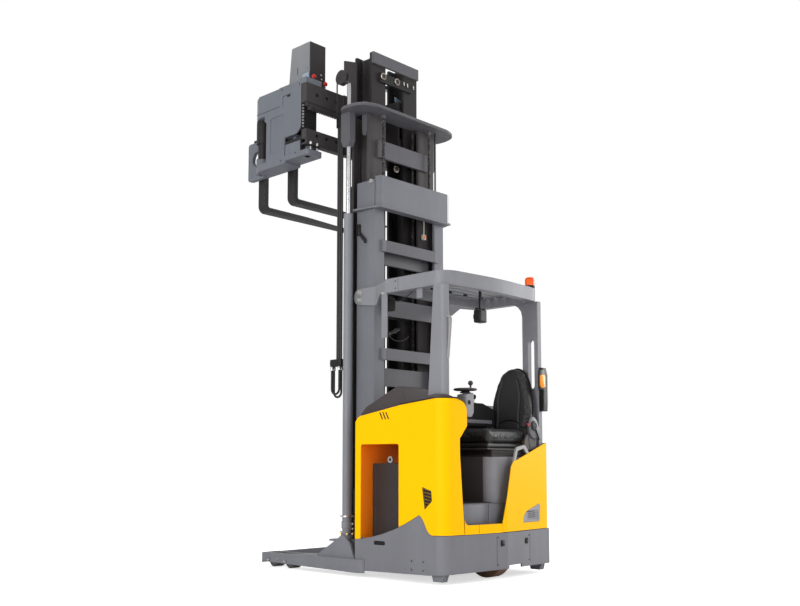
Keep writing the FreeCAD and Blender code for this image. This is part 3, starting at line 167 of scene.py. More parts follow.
class Finish(Wiring):
    """A material that is being wired."""

    def __init__(self, name, slot):
        self.material = bpy.data.materials.new(name)
        self.material.use_nodes = True
        super().__init__(self.material.node_tree)
        slot_of[name] = slot
        self.shader = self.tree.nodes["Principled BSDF"]
        self.place = self.node("TexCoord").other("Object")
        axes = self.node("SeparateXYZ", None, self.place)
        self.x, self.y, self.z = (axes.other(axis) for axis in "XYZ")

    def noise(self, scale, detail=3.0, roughness=0.5, distortion=0.0, place=None):
        return self.node("TexNoise", None, Vector=place or self.place, Scale=scale, Detail=detail,
                         Roughness=roughness, Distortion=distortion)

    def stretched(self, x, y, z):
        """The piece's own coordinates with each axis scaled, for grain that runs one way."""
        return self.node("Mapping", None, Vector=self.place, Scale=(x, y, z))

    def mix(self, factor, first, second):
        """A colour between two colours."""
        node = self.node("Mix", dict(data_type="RGBA")).socket.node
        self.feed(node.inputs[0], factor)
        self.feed(node.inputs[6], first)
        self.feed(node.inputs[7], second)
        return Link(self, node.outputs[2])

    def bump(self, height, strength=0.3, distance=0.001, normal=None):
        values = dict(Strength=strength, Distance=distance, Height=height)
        if normal:
            values["Normal"] = normal
        return self.node("Bump", None, **values)

    def edges(self, radius):
        """How far a rounded corner of this radius turns away from the true face, 0 on a flat."""
        rounded = self.node("Bevel", dict(samples=4), Radius=radius)
        true = self.node("NewGeometry").other("Normal")
        facing = self.node("VectorMath", dict(operation="DOT_PRODUCT"), rounded, true).other("Value")
        return (1.0 - facing).between(0.004, 0.10), rounded

    def up(self):
        """1 on faces that look up."""
        true = self.node("NewGeometry").other("Normal")
        return self.node("SeparateXYZ", None, true).other("Z").between(0.55, 0.95)

    def finish(self, **values):
        for key, value in values.items():
            self.feed(self.shader.inputs[key.replace("_", " ")], value)
        print("finish:", self.material.name)
        return self.material

# %% [markdown]
# ## Painted steel
# The truck's steel is sprayed: a flat colour, a faint orange-peel skin, dust that settles on faces that look up, and
# paint that is rubbed thin along the edges that people and pallets touch. The edge is found with a Bevel node, which
# gives the normal of a rounded corner; where that differs from the true normal there is an edge.
# %% Painted steel
dust_colour = (0.34, 0.32, 0.29)


def painted(name, colour, under=(0.30, 0.30, 0.31), gloss=0.38, wear=0.35, dust=0.25, shade=0.10, peel=0.10,
            shine=0.22, second=None, where=None):
    """Sprayed steel. where, a rule on the finish, says how far the second colour takes the first one's place."""
    f = Finish(name, "mast_dark")
    cloud = f.noise(1.7, 4.0, 0.55)
    streak = f.noise(1.0, 3.0, 0.6, 0.4, f.stretched(9.0, 9.0, 1.1))
    tone = (cloud * 0.6 + streak * 0.4).between(0.3, 0.7)
    darker = tuple(channel * (1.0 - shade) for channel in colour)
    lighter = tuple(channel * (1.0 + shade * 0.5) for channel in colour)
    base = f.mix(tone, darker, lighter)
    if where:
        base = f.mix(where(f), base, second)
    edge, rounded = f.edges(0.004)
    chips = f.noise(38.0, 5.0, 0.65).between(0.50, 0.62)
    rubbed = edge * chips * wear
    base = f.mix(rubbed, base, under)
    settled = f.up() * f.noise(6.0, 4.0, 0.6).between(0.35, 0.75) * dust
    base = f.mix(settled, base, dust_colour)
    smear = f.noise(5.0, 4.0, 0.6, 0.8)
    rough = (smear * 0.16 + (gloss - 0.08)) + settled * 0.4 + rubbed * 0.1
    skin = f.bump(f.noise(260.0, 2.0), peel, 0.0006, rounded)
    return f.finish(Base_Color=base, Roughness=rough, Normal=skin, Specular_IOR_Level=shine)


finish = {}
finish["frame_grey"] = painted("frame grey paint", (0.168, 0.171, 0.190), gloss=0.42)
finish["mast_grey"] = painted("mast grey paint", (0.158, 0.161, 0.181), gloss=0.44)
finish["mast_dark"] = painted("mast dark paint", (0.036, 0.0325, 0.0330), (0.14, 0.14, 0.14), 0.44, 0.45, 0.15)
finish["cross_grey"] = painted("cross member paint", (0.100, 0.098, 0.108), (0.20, 0.20, 0.20), 0.42, 0.4)
finish["body_yellow"] = painted("body yellow paint", (1.0, 0.50, 0.0), (0.85, 0.44, 0.02), 0.46, 0.1, 0.04, 0.02, 0.03,
                                0.05)
finish["bay_orange"] = painted("battery bay orange paint", (1.0, 0.235, 0.008), (0.5, 0.2, 0.1), 0.42, 0.3, 0.08,
                               0.06)
finish["battery_dark"] = painted("battery case paint", (0.034, 0.024, 0.020), (0.14, 0.13, 0.12), 0.45, 0.5, 0.2)
finish["fork_black"] = painted("fork paint", (0.026, 0.0235, 0.0245), (0.20, 0.195, 0.19), 0.46, 0.8, 0.10)

# %% [markdown]
# ## Moulded plastic
# Covers and consoles are injection moulded with a leathery grain. A Voronoi pattern gives the small cells of that
# grain, and a slow noise keeps large panels from looking like one flat tone.
# %% Moulded plastic
def moulded(name, colour, gloss=0.5, grain=420.0, depth=0.35):
    f = Finish(name, "moulded_dark")
    cells = f.node("TexVoronoi", dict(feature="F1"), Vector=f.place, Scale=grain)
    tone = f.noise(3.0, 3.0).between(0.3, 0.7)
    base = f.mix(tone, tuple(channel * 0.9 for channel in colour), tuple(channel * 1.08 for channel in colour))
    edge, rounded = f.edges(0.004)
    # Every edge is lightened a little: a painted highlight along the edges.
    base = f.mix(edge * 0.18, base, tuple(channel * 1.5 + 0.02 for channel in colour))
    settled = f.up() * f.noise(8.0, 4.0).between(0.4, 0.8) * 0.18
    base = f.mix(settled, base, dust_colour)
    rough = f.noise(12.0, 3.0) * 0.14 + (gloss - 0.06)
    return f.finish(Base_Color=base, Roughness=rough, Normal=f.bump(cells, depth, 0.0004, rounded),
                    Specular_IOR_Level=0.30)


finish["moulded_dark"] = moulded("dark moulded cover", (0.054, 0.044, 0.045), 0.50)
finish["moulded_grey"] = moulded("grey moulded cover", (0.215, 0.212, 0.230), 0.40)
finish["lamp_black"] = moulded("lamp housing", (0.011, 0.0105, 0.011), 0.38, 500.0, 0.15)
finish["seat_vinyl"] = moulded("seat backing", (0.009, 0.0086, 0.0086), 0.5)

# %% [markdown]
# ## Bare metal and rubber
# Chromed piston rods are mirror bright with fine rings from grinding, and hose rubber is dull with a faint wrap
# pattern. Both patterns are a noise squeezed along one axis, which costs less than modelling a groove and can't show a
# seam.
# %% Bare metal and rubber
def bright_steel(name, colour=(0.78, 0.78, 0.80), gloss=0.16, rings=900.0):
    f = Finish(name, "steel_bright")
    ground = f.noise(1.0, 2.0, 0.5, 0.0, f.stretched(14.0, 14.0, rings))
    rough = ground * 0.10 + (gloss - 0.04)
    tone = f.noise(9.0, 3.0).between(0.35, 0.75)
    base = f.mix(tone, tuple(channel * 0.88 for channel in colour), colour)
    return f.finish(Base_Color=base, Metallic=1.0, Roughness=rough, Normal=f.bump(ground, 0.06, 0.0003))


def rubber(name, colour, gloss=0.55, wrap=160.0):
    f = Finish(name, "hose_rubber")
    bands = f.noise(1.0, 2.0, 0.5, 0.0, f.stretched(40.0, 40.0, wrap))
    tone = f.noise(14.0, 3.0).between(0.3, 0.7)
    base = f.mix(tone, tuple(channel * 0.8 for channel in colour), tuple(channel * 1.25 for channel in colour))
    return f.finish(Base_Color=base, Roughness=bands * 0.2 + (gloss - 0.1), Normal=f.bump(bands, 0.3, 0.0006))


finish["steel_bright"] = bright_steel("chromed rod", (0.60, 0.60, 0.62), 0.24)
finish["hose_rubber"] = rubber("hose rubber", (0.013, 0.012, 0.012))
zinc = bright_steel("zinc plated", (0.62, 0.62, 0.60), 0.32, 60.0)
brass = bright_steel("brass fitting", (0.62, 0.42, 0.16), 0.28, 60.0)
slot_of.update((material.name, slot) for slot, material in finish.items())

# %% [markdown]
# ## Wheels
# Load and drive wheels carry a cast polyurethane tread on an iron hub. The wheel arrives as one node, so one material
# changes from tread to hub with the distance from the axle, which Pythagoras gives from the object's coordinates.
# %% Tread and hub
tread_brown = (0.150, 0.070, 0.030)
tread_dark = (0.060, 0.055, 0.052)


def wheel_finish(name, centre, tread_from, tread, hub=(0.18, 0.18, 0.19)):
    """Polyurethane outside the radius tread_from about an axle along Y, painted iron inside it."""
    f = Finish(name, "wheel_tread")
    across = f.x - centre.x
    above = f.z - centre.z
    radius = (across * across + above * above) ** 0.5
    outside = radius.between(tread_from - 0.001, tread_from + 0.001)
    scuffs = f.noise(60.0, 4.0, 0.6).between(0.45, 0.62) * radius.between(tread_from, tread_from + 0.02)
    worn = f.mix(scuffs * 0.5, tread, tuple(channel * 0.55 + 0.05 for channel in tread))
    base = f.mix(outside, hub, worn)
    rough = f.noise(30.0, 3.0) * 0.2 + 0.35
    return f.finish(Base_Color=base, Roughness=rough, Normal=f.bump(f.noise(180.0, 3.0), 0.2, 0.0006))


# %% [markdown]
# ## Finishes on the CAD nodes
# Each CAD node names the material slot of its finish in the record. Wheels get a finish of their own, centred on
# their axle, because a pattern round an axle has to know where the axle is.
# %% Give the CAD nodes their finishes
cross_dark = (0.020, 0.0185, 0.0185)
head_low, head_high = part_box("traverse_head")
swivel_x, swivel_y = head_high.x - 0.085, (head_low.y + head_high.y) / 2


def around_shaft(f):
    """1 on the oiled swivel shaft, between the head's two arms, and 0 on the plates beside it."""
    across, along = f.x - swivel_x, f.y - swivel_y
    return ((across * across + along * along) ** 0.5).between(0.076, 0.075) * f.z.between(3.50, 3.51)


own = {
    "grab_handles": moulded("handle coating", (0.26, 0.252, 0.248), 0.38),
    "lever_console": moulded("arm rest console", (0.016, 0.0145, 0.0145), 0.46),
    "rear_vent": moulded("vent panel", (0.27, 0.266, 0.285), 0.40),
    "overhead_guard": painted("guard paint", (0.21, 0.212, 0.232), gloss=0.42),
    "lift_tubes": painted("lift cylinder paint", (0.21, 0.214, 0.238), gloss=0.40),
    "traverse_head": painted("head paint", (0.146, 0.157, 0.180), gloss=0.42),
    "swivel_carriage": painted("swivel carriage paint", (0.146, 0.157, 0.180), gloss=0.42, second=(0.022, 0.020, 0.020),
                               where=around_shaft),
    "swivel_motor": painted("motor cover paint", (0.215, 0.222, 0.238), gloss=0.42),
    # The middle stage is a lighter copy of the mast's dark paint: painted light on its shaded side.
    "middle_mast": painted("middle stage paint", (0.062, 0.057, 0.058), (0.14, 0.14, 0.14), 0.44, 0.45, 0.15),
    "inner_mast": painted("inner stage paint", (0.023, 0.0205, 0.021), (0.14, 0.14, 0.14), 0.44, 0.45, 0.15),
    "traverse_frame": painted("rail paint", (0.052, 0.047, 0.048), (0.14, 0.14, 0.14), 0.44, 0.45, 0.15),
    "inner_head": painted("inner cross member paint", cross_dark, gloss=0.44, second=(0.100, 0.098, 0.108),
                          where=lambda f: f.z.between(4.190, 4.191)),
    "outer_mast": painted("outer mast paint", (0.158, 0.161, 0.181), gloss=0.44, second=(0.105, 0.104, 0.115),
                          where=lambda f: ((f.y * f.y) ** 0.5).between(0.301, 0.300)),
}
for part in frame["record"]["subparts"]:
    node = nodes[part["node"]]
    if part["material_slot"] == "wheel_tread":
        low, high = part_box(part["node"])
        middle = (low + high) / 2
        radius = (high.z - low.z) / 2
        is_drive = part["node"] == "drive_wheel"
        tread = tread_brown if is_drive else tread_dark
        made = wheel_finish(part["node"] + " finish", middle, radius - (0.045 if is_drive else 0.022), tread)
    else:
        made = finish[part["material_slot"]]
    made = own.get(part["node"], made)
    for slot in node.material_slots:
        slot.material = made
print("finished CAD nodes:", len(nodes))

# %% [markdown]
# ## Places and shapes
# The lift cylinders stand at a round number of millimetres ahead of the body's rear corners. Their CAD box therefore
# gives the datum from which a designer would dimension every bracket, bolt and trim strip, and mm() turns such a
# dimension into a point of the frame.
# %% The datum
rods_low, rods_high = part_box("lift_rods")
datum = (rods_low.x + rods_high.x) / 2 - 1.150


def mm(x, y, z):
    """A point given in millimetres ahead of the rear corners, to the left and above the floor."""
    return Vector((datum + x / 1000, y / 1000, z / 1000))


print("datum", round(datum, 4))

# %% [markdown]
# ## Handing a piece over
# A new piece is one mesh or curve that moves with one body of the truck. Pressed and machined parts are smooth with
# crisp edges, so faces are shaded smooth and only edges that turn more than the crease angle are marked sharp. An
# Edge Split modifier would look the same, but it tears the mesh open along those edges.
# %% From a bmesh to a piece
def placed(name, data, material, body):
    """Show a mesh or a curve as a piece, riding on a body if one is named."""
    data.materials.append(material)
    thing = bpy.data.objects.new(name, data)
    scene.collection.objects.link(thing)
    if body:
        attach(thing, body)
    print("made", name)
    return thing


def finished(name, shape, material, body="truck", crease=35.0):
    """Turn a bmesh into a piece whose edges are sharp above the crease angle."""
    bmesh.ops.remove_doubles(shape, verts=shape.verts[:], dist=1e-6)
    bmesh.ops.recalc_face_normals(shape, faces=shape.faces[:])
    for face in shape.faces:
        face.smooth = True
    for edge in shape.edges:
        edge.smooth = len(edge.link_faces) != 2 or edge.calc_face_angle(0.0) < radians(crease)
    mesh = bpy.data.meshes.new(name)
    shape.to_mesh(mesh)
    shape.free()
    return placed(name, mesh, material, body)


# %% [markdown]
# ## Blocks, plates and turned parts
# Nearly all hardware is sawn from bar, cut from plate or turned on a lathe. The same three operations are here: a
# cube with bevelled edges, a ring of points extruded to a thickness, and a profile spun about its axis.
# %% Three ways to shape metal
def edges_at(corners):
    """The edges that meet at these points, each once. A set would give them in another order on every run."""
    return list(dict.fromkeys(edge for corner in corners for edge in corner.link_edges))


def bevelled(shape, edges, width, segments=2):
    bmesh.ops.bevel(shape, geom=edges, offset=width, offset_type="OFFSET", segments=segments, profile=0.5,
                    affect="EDGES", material=-1)


def brick(shape, x0, x1, y0, y1, z0, z1, bevel=1.5, segments=2):
    """A block between two corners in millimetres, with rounded edges."""
    middle = (mm(x0, y0, z0) + mm(x1, y1, z1)) / 2
    size = mm(x1, y1, z1) - mm(x0, y0, z0)
    place = Matrix.Translation(middle) @ Matrix.Diagonal((abs(size.x), abs(size.y), abs(size.z), 1.0))
    corners = bmesh.ops.create_cube(shape, size=1.0, matrix=place)["verts"]
    if bevel:
        bevelled(shape, edges_at(corners), bevel / 1000, segments)


def slab(shape, points, depth, bevel=0.0, segments=2):
    """A flat plate on a closed ring of points, made thick along depth, a vector in metres."""
    ring = [shape.verts.new(point) for point in points]
    first = shape.faces.new(ring)
    grown = bmesh.ops.extrude_face_region(shape, geom=[first])["geom"]
    moved = [item for item in grown if isinstance(item, bmesh.types.BMVert)]
    bmesh.ops.translate(shape, vec=depth, verts=moved)
    if bevel:
        bevelled(shape, edges_at(ring + moved), bevel / 1000, segments)


def turned(shape, profile, start, axis, steps=28):
    """A turned part: (distance along the axis, radius) pairs in millimetres, spun round an axis from start."""
    axis = Vector(axis).normalized()
    side = axis.orthogonal().normalized()
    ring = [shape.verts.new(start + (axis * along + side * radius) / 1000) for along, radius in profile]
    edges = [shape.edges.new(pair) for pair in zip(ring, ring[1:])]
    bmesh.ops.spin(shape, geom=ring + edges, cent=start, axis=axis, angle=tau, steps=steps, use_merge=True)


# %% [markdown]
# ## Bolts and pipes
# A bolt head is a six-sided cone of equal radii, chamfered at the top, on a turned washer. A hose or a wire is a
# curve with a round bevel, because a curve keeps its section round in a bend without any work on its faces.
# %% Bolts and pipes
def hexagon(shape, centre, axis, across, tall):
    """A hexagonal head with a chamfered top."""
    turn = Vector(axis).to_track_quat("Z", "Y").to_matrix().to_4x4()
    place = Matrix.Translation(centre + Vector(axis) * tall / 2000) @ turn
    made = bmesh.ops.create_cone(shape, cap_ends=True, segments=6, radius1=across / 1732, radius2=across / 1732,
                                 depth=tall / 1000, matrix=place)["verts"]
    top = [corner for corner in made if (corner.co - centre).dot(Vector(axis)) > tall / 2000]
    rim = [edge for edge in edges_at(top) if all(corner in top for corner in edge.verts)]
    bevelled(shape, rim, across / 12000, 1)


def bolt(shape, place, axis, across=13.0):
    """A hexagon-headed bolt on a washer."""
    a = across
    turned(shape, [(0, 0), (0, 0.86 * a), (0.07 * a, 0.9 * a), (0.14 * a, 0.86 * a), (0.14 * a, 0)], place, axis, 20)
    hexagon(shape, place + Vector(axis) * 0.14 * a / 1000, axis, a, 0.55 * a)


def bolts(name, places, axis, across, body="truck"):
    """A set of zinc-plated bolts as one piece."""
    shape = bmesh.new()
    for place in places:
        bolt(shape, place, axis, across)
    finished(name, shape, zinc, body)


def pipes(name, runs, radius, material, body="truck", fine=6):
    """Round pipes, hoses or wires, each on a smooth curve that its own run of points pulls along."""
    curve = bpy.data.curves.new(name, "CURVE")
    curve.dimensions = "3D"
    curve.bevel_depth = radius / 1000
    curve.bevel_resolution = 3
    curve.use_fill_caps = True
    curve.resolution_u = fine
    for run in runs:
        spline = curve.splines.new("NURBS")
        spline.points.add(len(run) - 1)
        for point, place in zip(spline.points, run):
            point.co = (*place, 1.0)
        spline.order_u = 3
        spline.use_endpoint_u = True
    return placed(name, curve, material, body)

# %% [markdown]
# ## Vinyl upholstery
# Seat vinyl is matt black with a fine pebbled grain, a little shinier where trousers have rubbed it. Two noises at
# different scales make the pebbles and the soft creases, and faces that look up carry the polish.
# %% Vinyl, seams and dark plastics
def vinyl(name, colour=(0.0075, 0.0072, 0.0072)):
    f = Finish(name, "seat_vinyl")
    pebbles = f.node("TexVoronoi", dict(feature="SMOOTH_F1"), Vector=f.place, Scale=520.0)
    creases = f.noise(24.0, 4.0, 0.6, 0.6)
    tone = f.noise(4.0, 3.0).between(0.3, 0.7)
    base = f.mix(tone, tuple(channel * 0.8 for channel in colour), tuple(channel * 1.5 for channel in colour))
    rubbed = f.up() * f.noise(5.0, 3.0).between(0.35, 0.7)
    rough = 0.47 + creases * 0.12 - rubbed * 0.10
    height = pebbles * 0.5 + creases * 0.5
    return f.finish(Base_Color=base, Roughness=rough, Normal=f.bump(height, 0.30, 0.0008))


seat_cover = vinyl("seat vinyl")
piping = rubber("seat piping", (0.012, 0.011, 0.011), 0.45)
buckle_red = moulded("buckle button", (0.55, 0.03, 0.015), 0.35)
amber = moulded("amber lens", (0.90, 0.30, 0.02), 0.14, 700.0, 0.2)
satin_black = moulded("satin black plastic", (0.010, 0.0095, 0.0098), 0.40, 380.0, 0.2)
cover_grey = moulded("light grey cover", (0.125, 0.125, 0.135), 0.36, 460.0, 0.15)
gap_black = rubber("shadow gap", (0.003, 0.003, 0.003), 0.8)
slot_of[piping.name] = slot_of[gap_black.name] = "moulded_dark"

# %% [markdown]
# ## Cloth that swells
# Foam pushes its cover out between the seams. Each pad starts a little small, is remeshed to even cells, is blown up
# by Blender's cloth solver with no gravity, and may move no further than a cap. Its underside stays flat, because it
# lies on the seat pan.
# %% Swell a pad
def swollen(shape, voxel, cap, floor_z=None, frames=16):
    """The mesh of a pad after the cloth solver has blown it up."""
    mesh = bpy.data.meshes.new("pad")
    shape.to_mesh(mesh)
    shape.free()
    holder = bpy.data.objects.new("pad", mesh)
    scene.collection.objects.link(holder)
    remesh = holder.modifiers.new("even cells", "REMESH")
    remesh.mode = "VOXEL"
    remesh.voxel_size = voxel
    graph = bpy.context.evaluated_depsgraph_get()
    even = bpy.data.meshes.new_from_object(holder.evaluated_get(graph))
    holder.modifiers.clear()
    holder.data = even
    start = [point.co.copy() for point in even.vertices]
    end = start
    cloth = holder.modifiers.new("swell", "CLOTH")
    cloth.settings.use_pressure = True
    cloth.settings.uniform_pressure_force = 4.0
    cloth.settings.effector_weights.gravity = 0.0
    cloth.settings.quality = 4
    cloth.point_cache.frame_end = frames
    for frame_number in range(1, frames + 1):
        scene.frame_set(frame_number)
    graph = bpy.context.evaluated_depsgraph_get()
    end = [point.co.copy() for point in holder.evaluated_get(graph).data.vertices]
    holder.modifiers.clear()
    scene.frame_set(1)
    for point, before, after in zip(even.vertices, start, end):
        move = after - before
        if move.length > cap:
            move *= cap / move.length
        place = before + move
        if floor_z is not None:
            place.z = max(place.z, floor_z)
        point.co = place
    bpy.data.objects.remove(holder)
    return even


# %% [markdown]
# ## Seams
# Where the cover is sewn, the stitching pulls it down into the foam. The swollen mesh is subdivided once, so that it
# is fine enough, and each point near a seam line sinks along its normal by a bell curve of its distance. A bump map
# would give the shading but not the notch that a seam cuts in the pad's outline.
# %% Press seams into a pad
seam_width = 0.0055


def subdivided(mesh):
    """A finer bmesh of a pad."""
    shape = bmesh.new()
    shape.from_mesh(mesh)
    bmesh.ops.subdivide_edges(shape, edges=shape.edges[:], cuts=1, use_grid_fill=True, smooth=0.6)
    return shape


def distance_to_run(point, run):
    """Distance in the plane from a point to a chain of straight pieces."""
    nearest = 9.0
    for first, second in zip(run, run[1:]):
        along = second - first
        share = max(0.0, min(1.0, (point - first).dot(along) / along.length_squared))
        nearest = min(nearest, (first + along * share - point).length)
    return nearest


def pad(name, shape, cap, floor_z=None, seams=(), depth=0.0, flat=None):
    """A finished pad. flat() says how much a point is on the sewn face, and where it lies in the seams' plane."""
    shape = subdivided(swollen(shape, 0.0065, cap, floor_z))
    shape.normal_update()
    for point in shape.verts if seams else ():
        on_face, place = flat(point)
        if on_face > 0.05:
            reach = min(distance_to_run(place, seam) for seam in seams)
            point.co -= point.normal * depth * on_face * pow(2.718, -(reach / seam_width) ** 2)
    thing = finished(name, shape, seat_cover, crease=60.0)
    return thing


def smooth_run(points, steps=8):
    """A Catmull-Rom curve through 2-D points, as a chain of short pieces."""
    ends = [points[0] * 2 - points[1], *points, points[-1] * 2 - points[-2]]
    run = []
    for a, b, c, d in zip(ends, ends[1:], ends[2:], ends[3:]):
        for step in range(steps):
            t = step / steps
            run.append(0.5 * (2 * b + (c - a) * t + (2 * a - 5 * b + 4 * c - d) * t ** 2
                              + (3 * b - a - 3 * c + d) * t ** 3))
    return run + [points[-1]]


# %% [markdown]
# ## The seat's cushion
# The cushion is two pads, one over the other, with side bolsters sewn off from the middle. Each pad starts as a
# block with well rounded edges, because foam is cut from a block too, and the cloth solver does the rest.
# %% Cushion
seat_low, seat_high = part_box("seat_cushion")
seat_mid = (seat_low + seat_high) / 2
low_pad = bmesh.new()
brick(low_pad, 34, 390, -366, 104, 974, 1006, 12.0, 3)
lower = pad("seat_cushion_lower", low_pad, 0.007, seat_low.z + 0.001)
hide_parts("seat_cushion")
top_pad = bmesh.new()
brick(top_pad, 34, 390, -362, 102, 1012, 1108, 24.0, 4)
bolsters = [smooth_run([Vector((seat_mid.x + side * 0.120, seat_low.y + 0.02)),
                        Vector((seat_mid.x + side * 0.112, seat_mid.y)),
                        Vector((seat_mid.x + side * 0.130, seat_high.y - 0.06)),
                        Vector((seat_mid.x + side * 0.150, seat_high.y))]) for side in (-1, 1)]
cross = [Vector((seat_mid.x - 0.125, seat_mid.y + 0.06)), Vector((seat_mid.x + 0.125, seat_mid.y + 0.06))]
pad("seat_cushion_upper", top_pad, 0.011, seat_low.z + 0.037, bolsters + [cross], 0.0075,
    lambda point: (max(0.0, point.normal.z), point.co.xy))

# %% [markdown]
# ## The backrest
# The backrest is an egg in outline, with two seams that curve down from its shoulders and a lumbar insert sewn across
# its foot. A few points of the outline are rounded off by a Catmull-Rom curve, which passes through each of them, so
# that they can be read off a drawing. The last digits of a bevel on such an outline change from run to run, and the
# cloth solver would magnify them, so the points are rounded to a hundredth of a millimetre first. A moulded shell
# closes the back.
# %% Backrest
seat_x = 212
half_outline = [(0, 1088), (134, 1098), (192, 1190), (196, 1316), (164, 1458), (104, 1576), (0, 1622)]
egg = [(w, z) for w, z in half_outline] + [(-w, z) for w, z in half_outline[-2:0:-1]]


def back_front(z):
    """How far to the left the backrest's front face lies at a height, in millimetres: it leans back."""
    return -389 - (z - 1068) * 0.087


back_pad = bmesh.new()
outline = smooth_run([Vector(pair) for pair in egg + egg[:1]], 5)[:-1]
ring = [mm(seat_x + p.x, back_front(p.y), p.y) for p in outline]
slab(back_pad, ring, Vector((0, -0.060, -0.004)), 15.0, 3)
for point in back_pad.verts:
    point.co = [round(value, 5) for value in point.co]
shoulders = [smooth_run([Vector((seat_x / 1000 + side * w, z))
                         for w, z in ((0.118, 1.075), (0.098, 1.22), (0.104, 1.38), (0.070, 1.52))])
             for side in (-1, 1)]
lumbar = smooth_run([Vector((seat_x / 1000 + w, z))
                     for w, z in ((-0.104, 1.165), (-0.05, 1.187), (0, 1.194), (0.05, 1.187), (0.104, 1.165))])
back = pad("seat_backrest", back_pad, 0.014, None, shoulders + [lumbar], 0.0085,
           lambda point: (max(0.0, point.normal.y), Vector((point.co.x - datum, point.co.z))))
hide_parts("seat_back")
shell = bmesh.new()
wide = [mm(seat_x + p.x * 0.93, back_front(p.y) - 66, 1352 + (p.y - 1352) * 1.01) for p in outline]
slab(shell, wide, Vector((0, -0.012, 0.0)), 4.0, 2)
brick(shell, 40, 384, -386, -368, 1030, 1132, 6.0)
finished("seat_back_shell", shell, finish["seat_vinyl"], "truck")

# %% [markdown]
# ## What is bolted to the seat
# Two round covers hide the recliner hinges, and a lever on the rear one lets the backrest go. The belt's buckle
# stands on a stalk. Under the cushion a bellows of five folds hides the suspension: each fold is a block with nearly
# round edges, and every second one is set back, which reads as pleats from any side.
# %% Recliner covers, lever, buckle and bellows
recliner = bmesh.new()
for x0, way in ((4.0, -1), (420.0, 1)):
    rim = smooth_run([Vector(pair) for pair in [(-508, 1120), (-470, 1192), (-424, 1222), (-384, 1206), (-366, 1150),
                                                (-384, 1080), (-430, 1052), (-486, 1064), (-508, 1120)]], 4)[:-1]
    slab(recliner, [mm(x0, p.x, p.y) for p in rim], Vector((way * 0.011, 0, 0)), 4.0, 3)
finished("recliner_covers", recliner, cover_grey, "truck")
knuckle = bmesh.new()
turned(knuckle, [(0, 0), (0, 34), (4, 38), (9, 36), (12, 24), (12, 20), (9, 18), (9, 0)], mm(-7, -428, 1150),
       (-1, 0, 0), 36)
slab(knuckle, [mm(-8, y, z) for y, z in [(-418, 1148), (-436, 1156), (-478, 1102), (-498, 1040), (-484, 1034),
                                        (-462, 1090)]], Vector((-0.009, 0, 0)), 3.0)
finished("recliner_lever", knuckle, satin_black)
buckle = bmesh.new()
brick(buckle, -4, 18, -392, -352, 1080, 1158, 6.0, 3)
stalk = [mm(x, y, z) for x, y, z in [(2, -384, 980), (12, -384, 980), (12, -364, 1084), (2, -364, 1084)]]
slab(buckle, stalk, Vector((0, -0.024, 0)), 1.0, 1)
finished("belt_buckle", buckle, satin_black)
button = bmesh.new()
brick(button, -6, 15, -388, -356, 1150, 1168, 4.0, 3)
finished("belt_button", button, buckle_red)
bellows = bmesh.new()
for step in range(5):
    z = 916 + step * 9.0
    back_set = step % 2
    brick(bellows, seat_x - 182 + back_set * 5, seat_x + 182 - back_set * 5, -412 + back_set * 4, 62 - back_set * 4,
          z, z + 8.2, 3.6, 2)
finished("suspension_bellows", bellows, piping)

# %% [markdown]
# ## The cab's rear
# A driver steps in over a light grey riser, past a motor housing whose inner side is dark sheet, onto a ribbed rubber
# mat. These are thin sheets in front of the CAD steel, because a sheet of its own gives a second colour a clean edge.
# %% Riser, dark housing side and mat
riser = bmesh.new()
for y0, y1 in ((-100, 118), (122, 436)):
    brick(riser, 16, 21, y0, y1, 372, 556, 1.5)
brick(riser, 14, 60, -104, 438, 556, 562, 2.0)
finished("entry_riser", riser, finish["frame_grey"])
housing = bmesh.new()
brick(housing, 112, 429, 64.4, 66.4, 336, 904, 0.8, 1)
finished("housing_side", housing, moulded("housing side", (0.070, 0.062, 0.062), 0.5))
floor_mat = bmesh.new()
brick(floor_mat, 24, 426, 72, 584, 560.5, 566, 2.0)
for step in range(18):
    brick(floor_mat, 40, 410, 92 + step * 27, 104 + step * 27, 565.5, 568.5, 1.2, 1)
finished("floor_mat", floor_mat, finish["hose_rubber"])

# %% [markdown]
# ## Service flap
# Under the door sill the skirt has a flap: fine seams, four screws and two black latches. The skirt bulges to the
# rear, so one small function gives its face at any place across the truck, and each part is set on that.
# %% Skirt flap: seams, screws and latches
bulge, half_width = 65.0, 640


def rear_face(y):
    """How far ahead of the corners the bulging rear face lies at a distance from the middle."""
    return -bulge + bulge * abs(y) / half_width


seams = bmesh.new()
for y, z0, z1 in ((113, 100, 320), (-322, 110, 318)):
    brick(seams, rear_face(y) - 0.6, rear_face(y) + 2, y - 1.3, y + 1.3, z0, z1, 0.0)
brick(seams, rear_face(296) - 0.6, rear_face(296) + 2, 294.6, 297.2, 352, 412, 0.0)
outside = [mm(rear_face(y) - 0.4, y, 343) for y in (-560, 0, 520)]
slab(seams, outside + [mm(rear_face(y) + 3, y, 343) for y in (520, 0, -560)], Vector((0, 0, 0.003)))
finished("skirt_seams", seams, gap_black)
screws = bmesh.new()
for y, z in ((100, 312), (100, 112), (-308, 308), (-308, 122)):
    turned(screws, [(0, 0), (0, 5.4), (2.0, 5.0), (3.0, 3.0), (3.0, 2.2), (1.2, 1.8), (1.2, 0)],
           mm(rear_face(y), y, z), (-1, 0, 0), 18)
finished("flap_screws", screws, finish["mast_dark"])
latches = bmesh.new()
for y, turn in ((52, 1), (-268, -1)):
    x = rear_face(y)
    brick(latches, x - 3.5, x + 2, y - 21, y + 21, 246, 290, 5.0, 3)
    brick(latches, x - 8.0, x - 2, y - 12, y + 12, 254, 274, 3.0, 2)
    turned(latches, [(0, 0), (0, 8), (4, 7.4), (4, 3), (2, 3), (2, 0)], mm(x - 3.4, y + turn * 10, 280), (-1, 0, 0), 18)
finished("flap_latches", latches, satin_black)

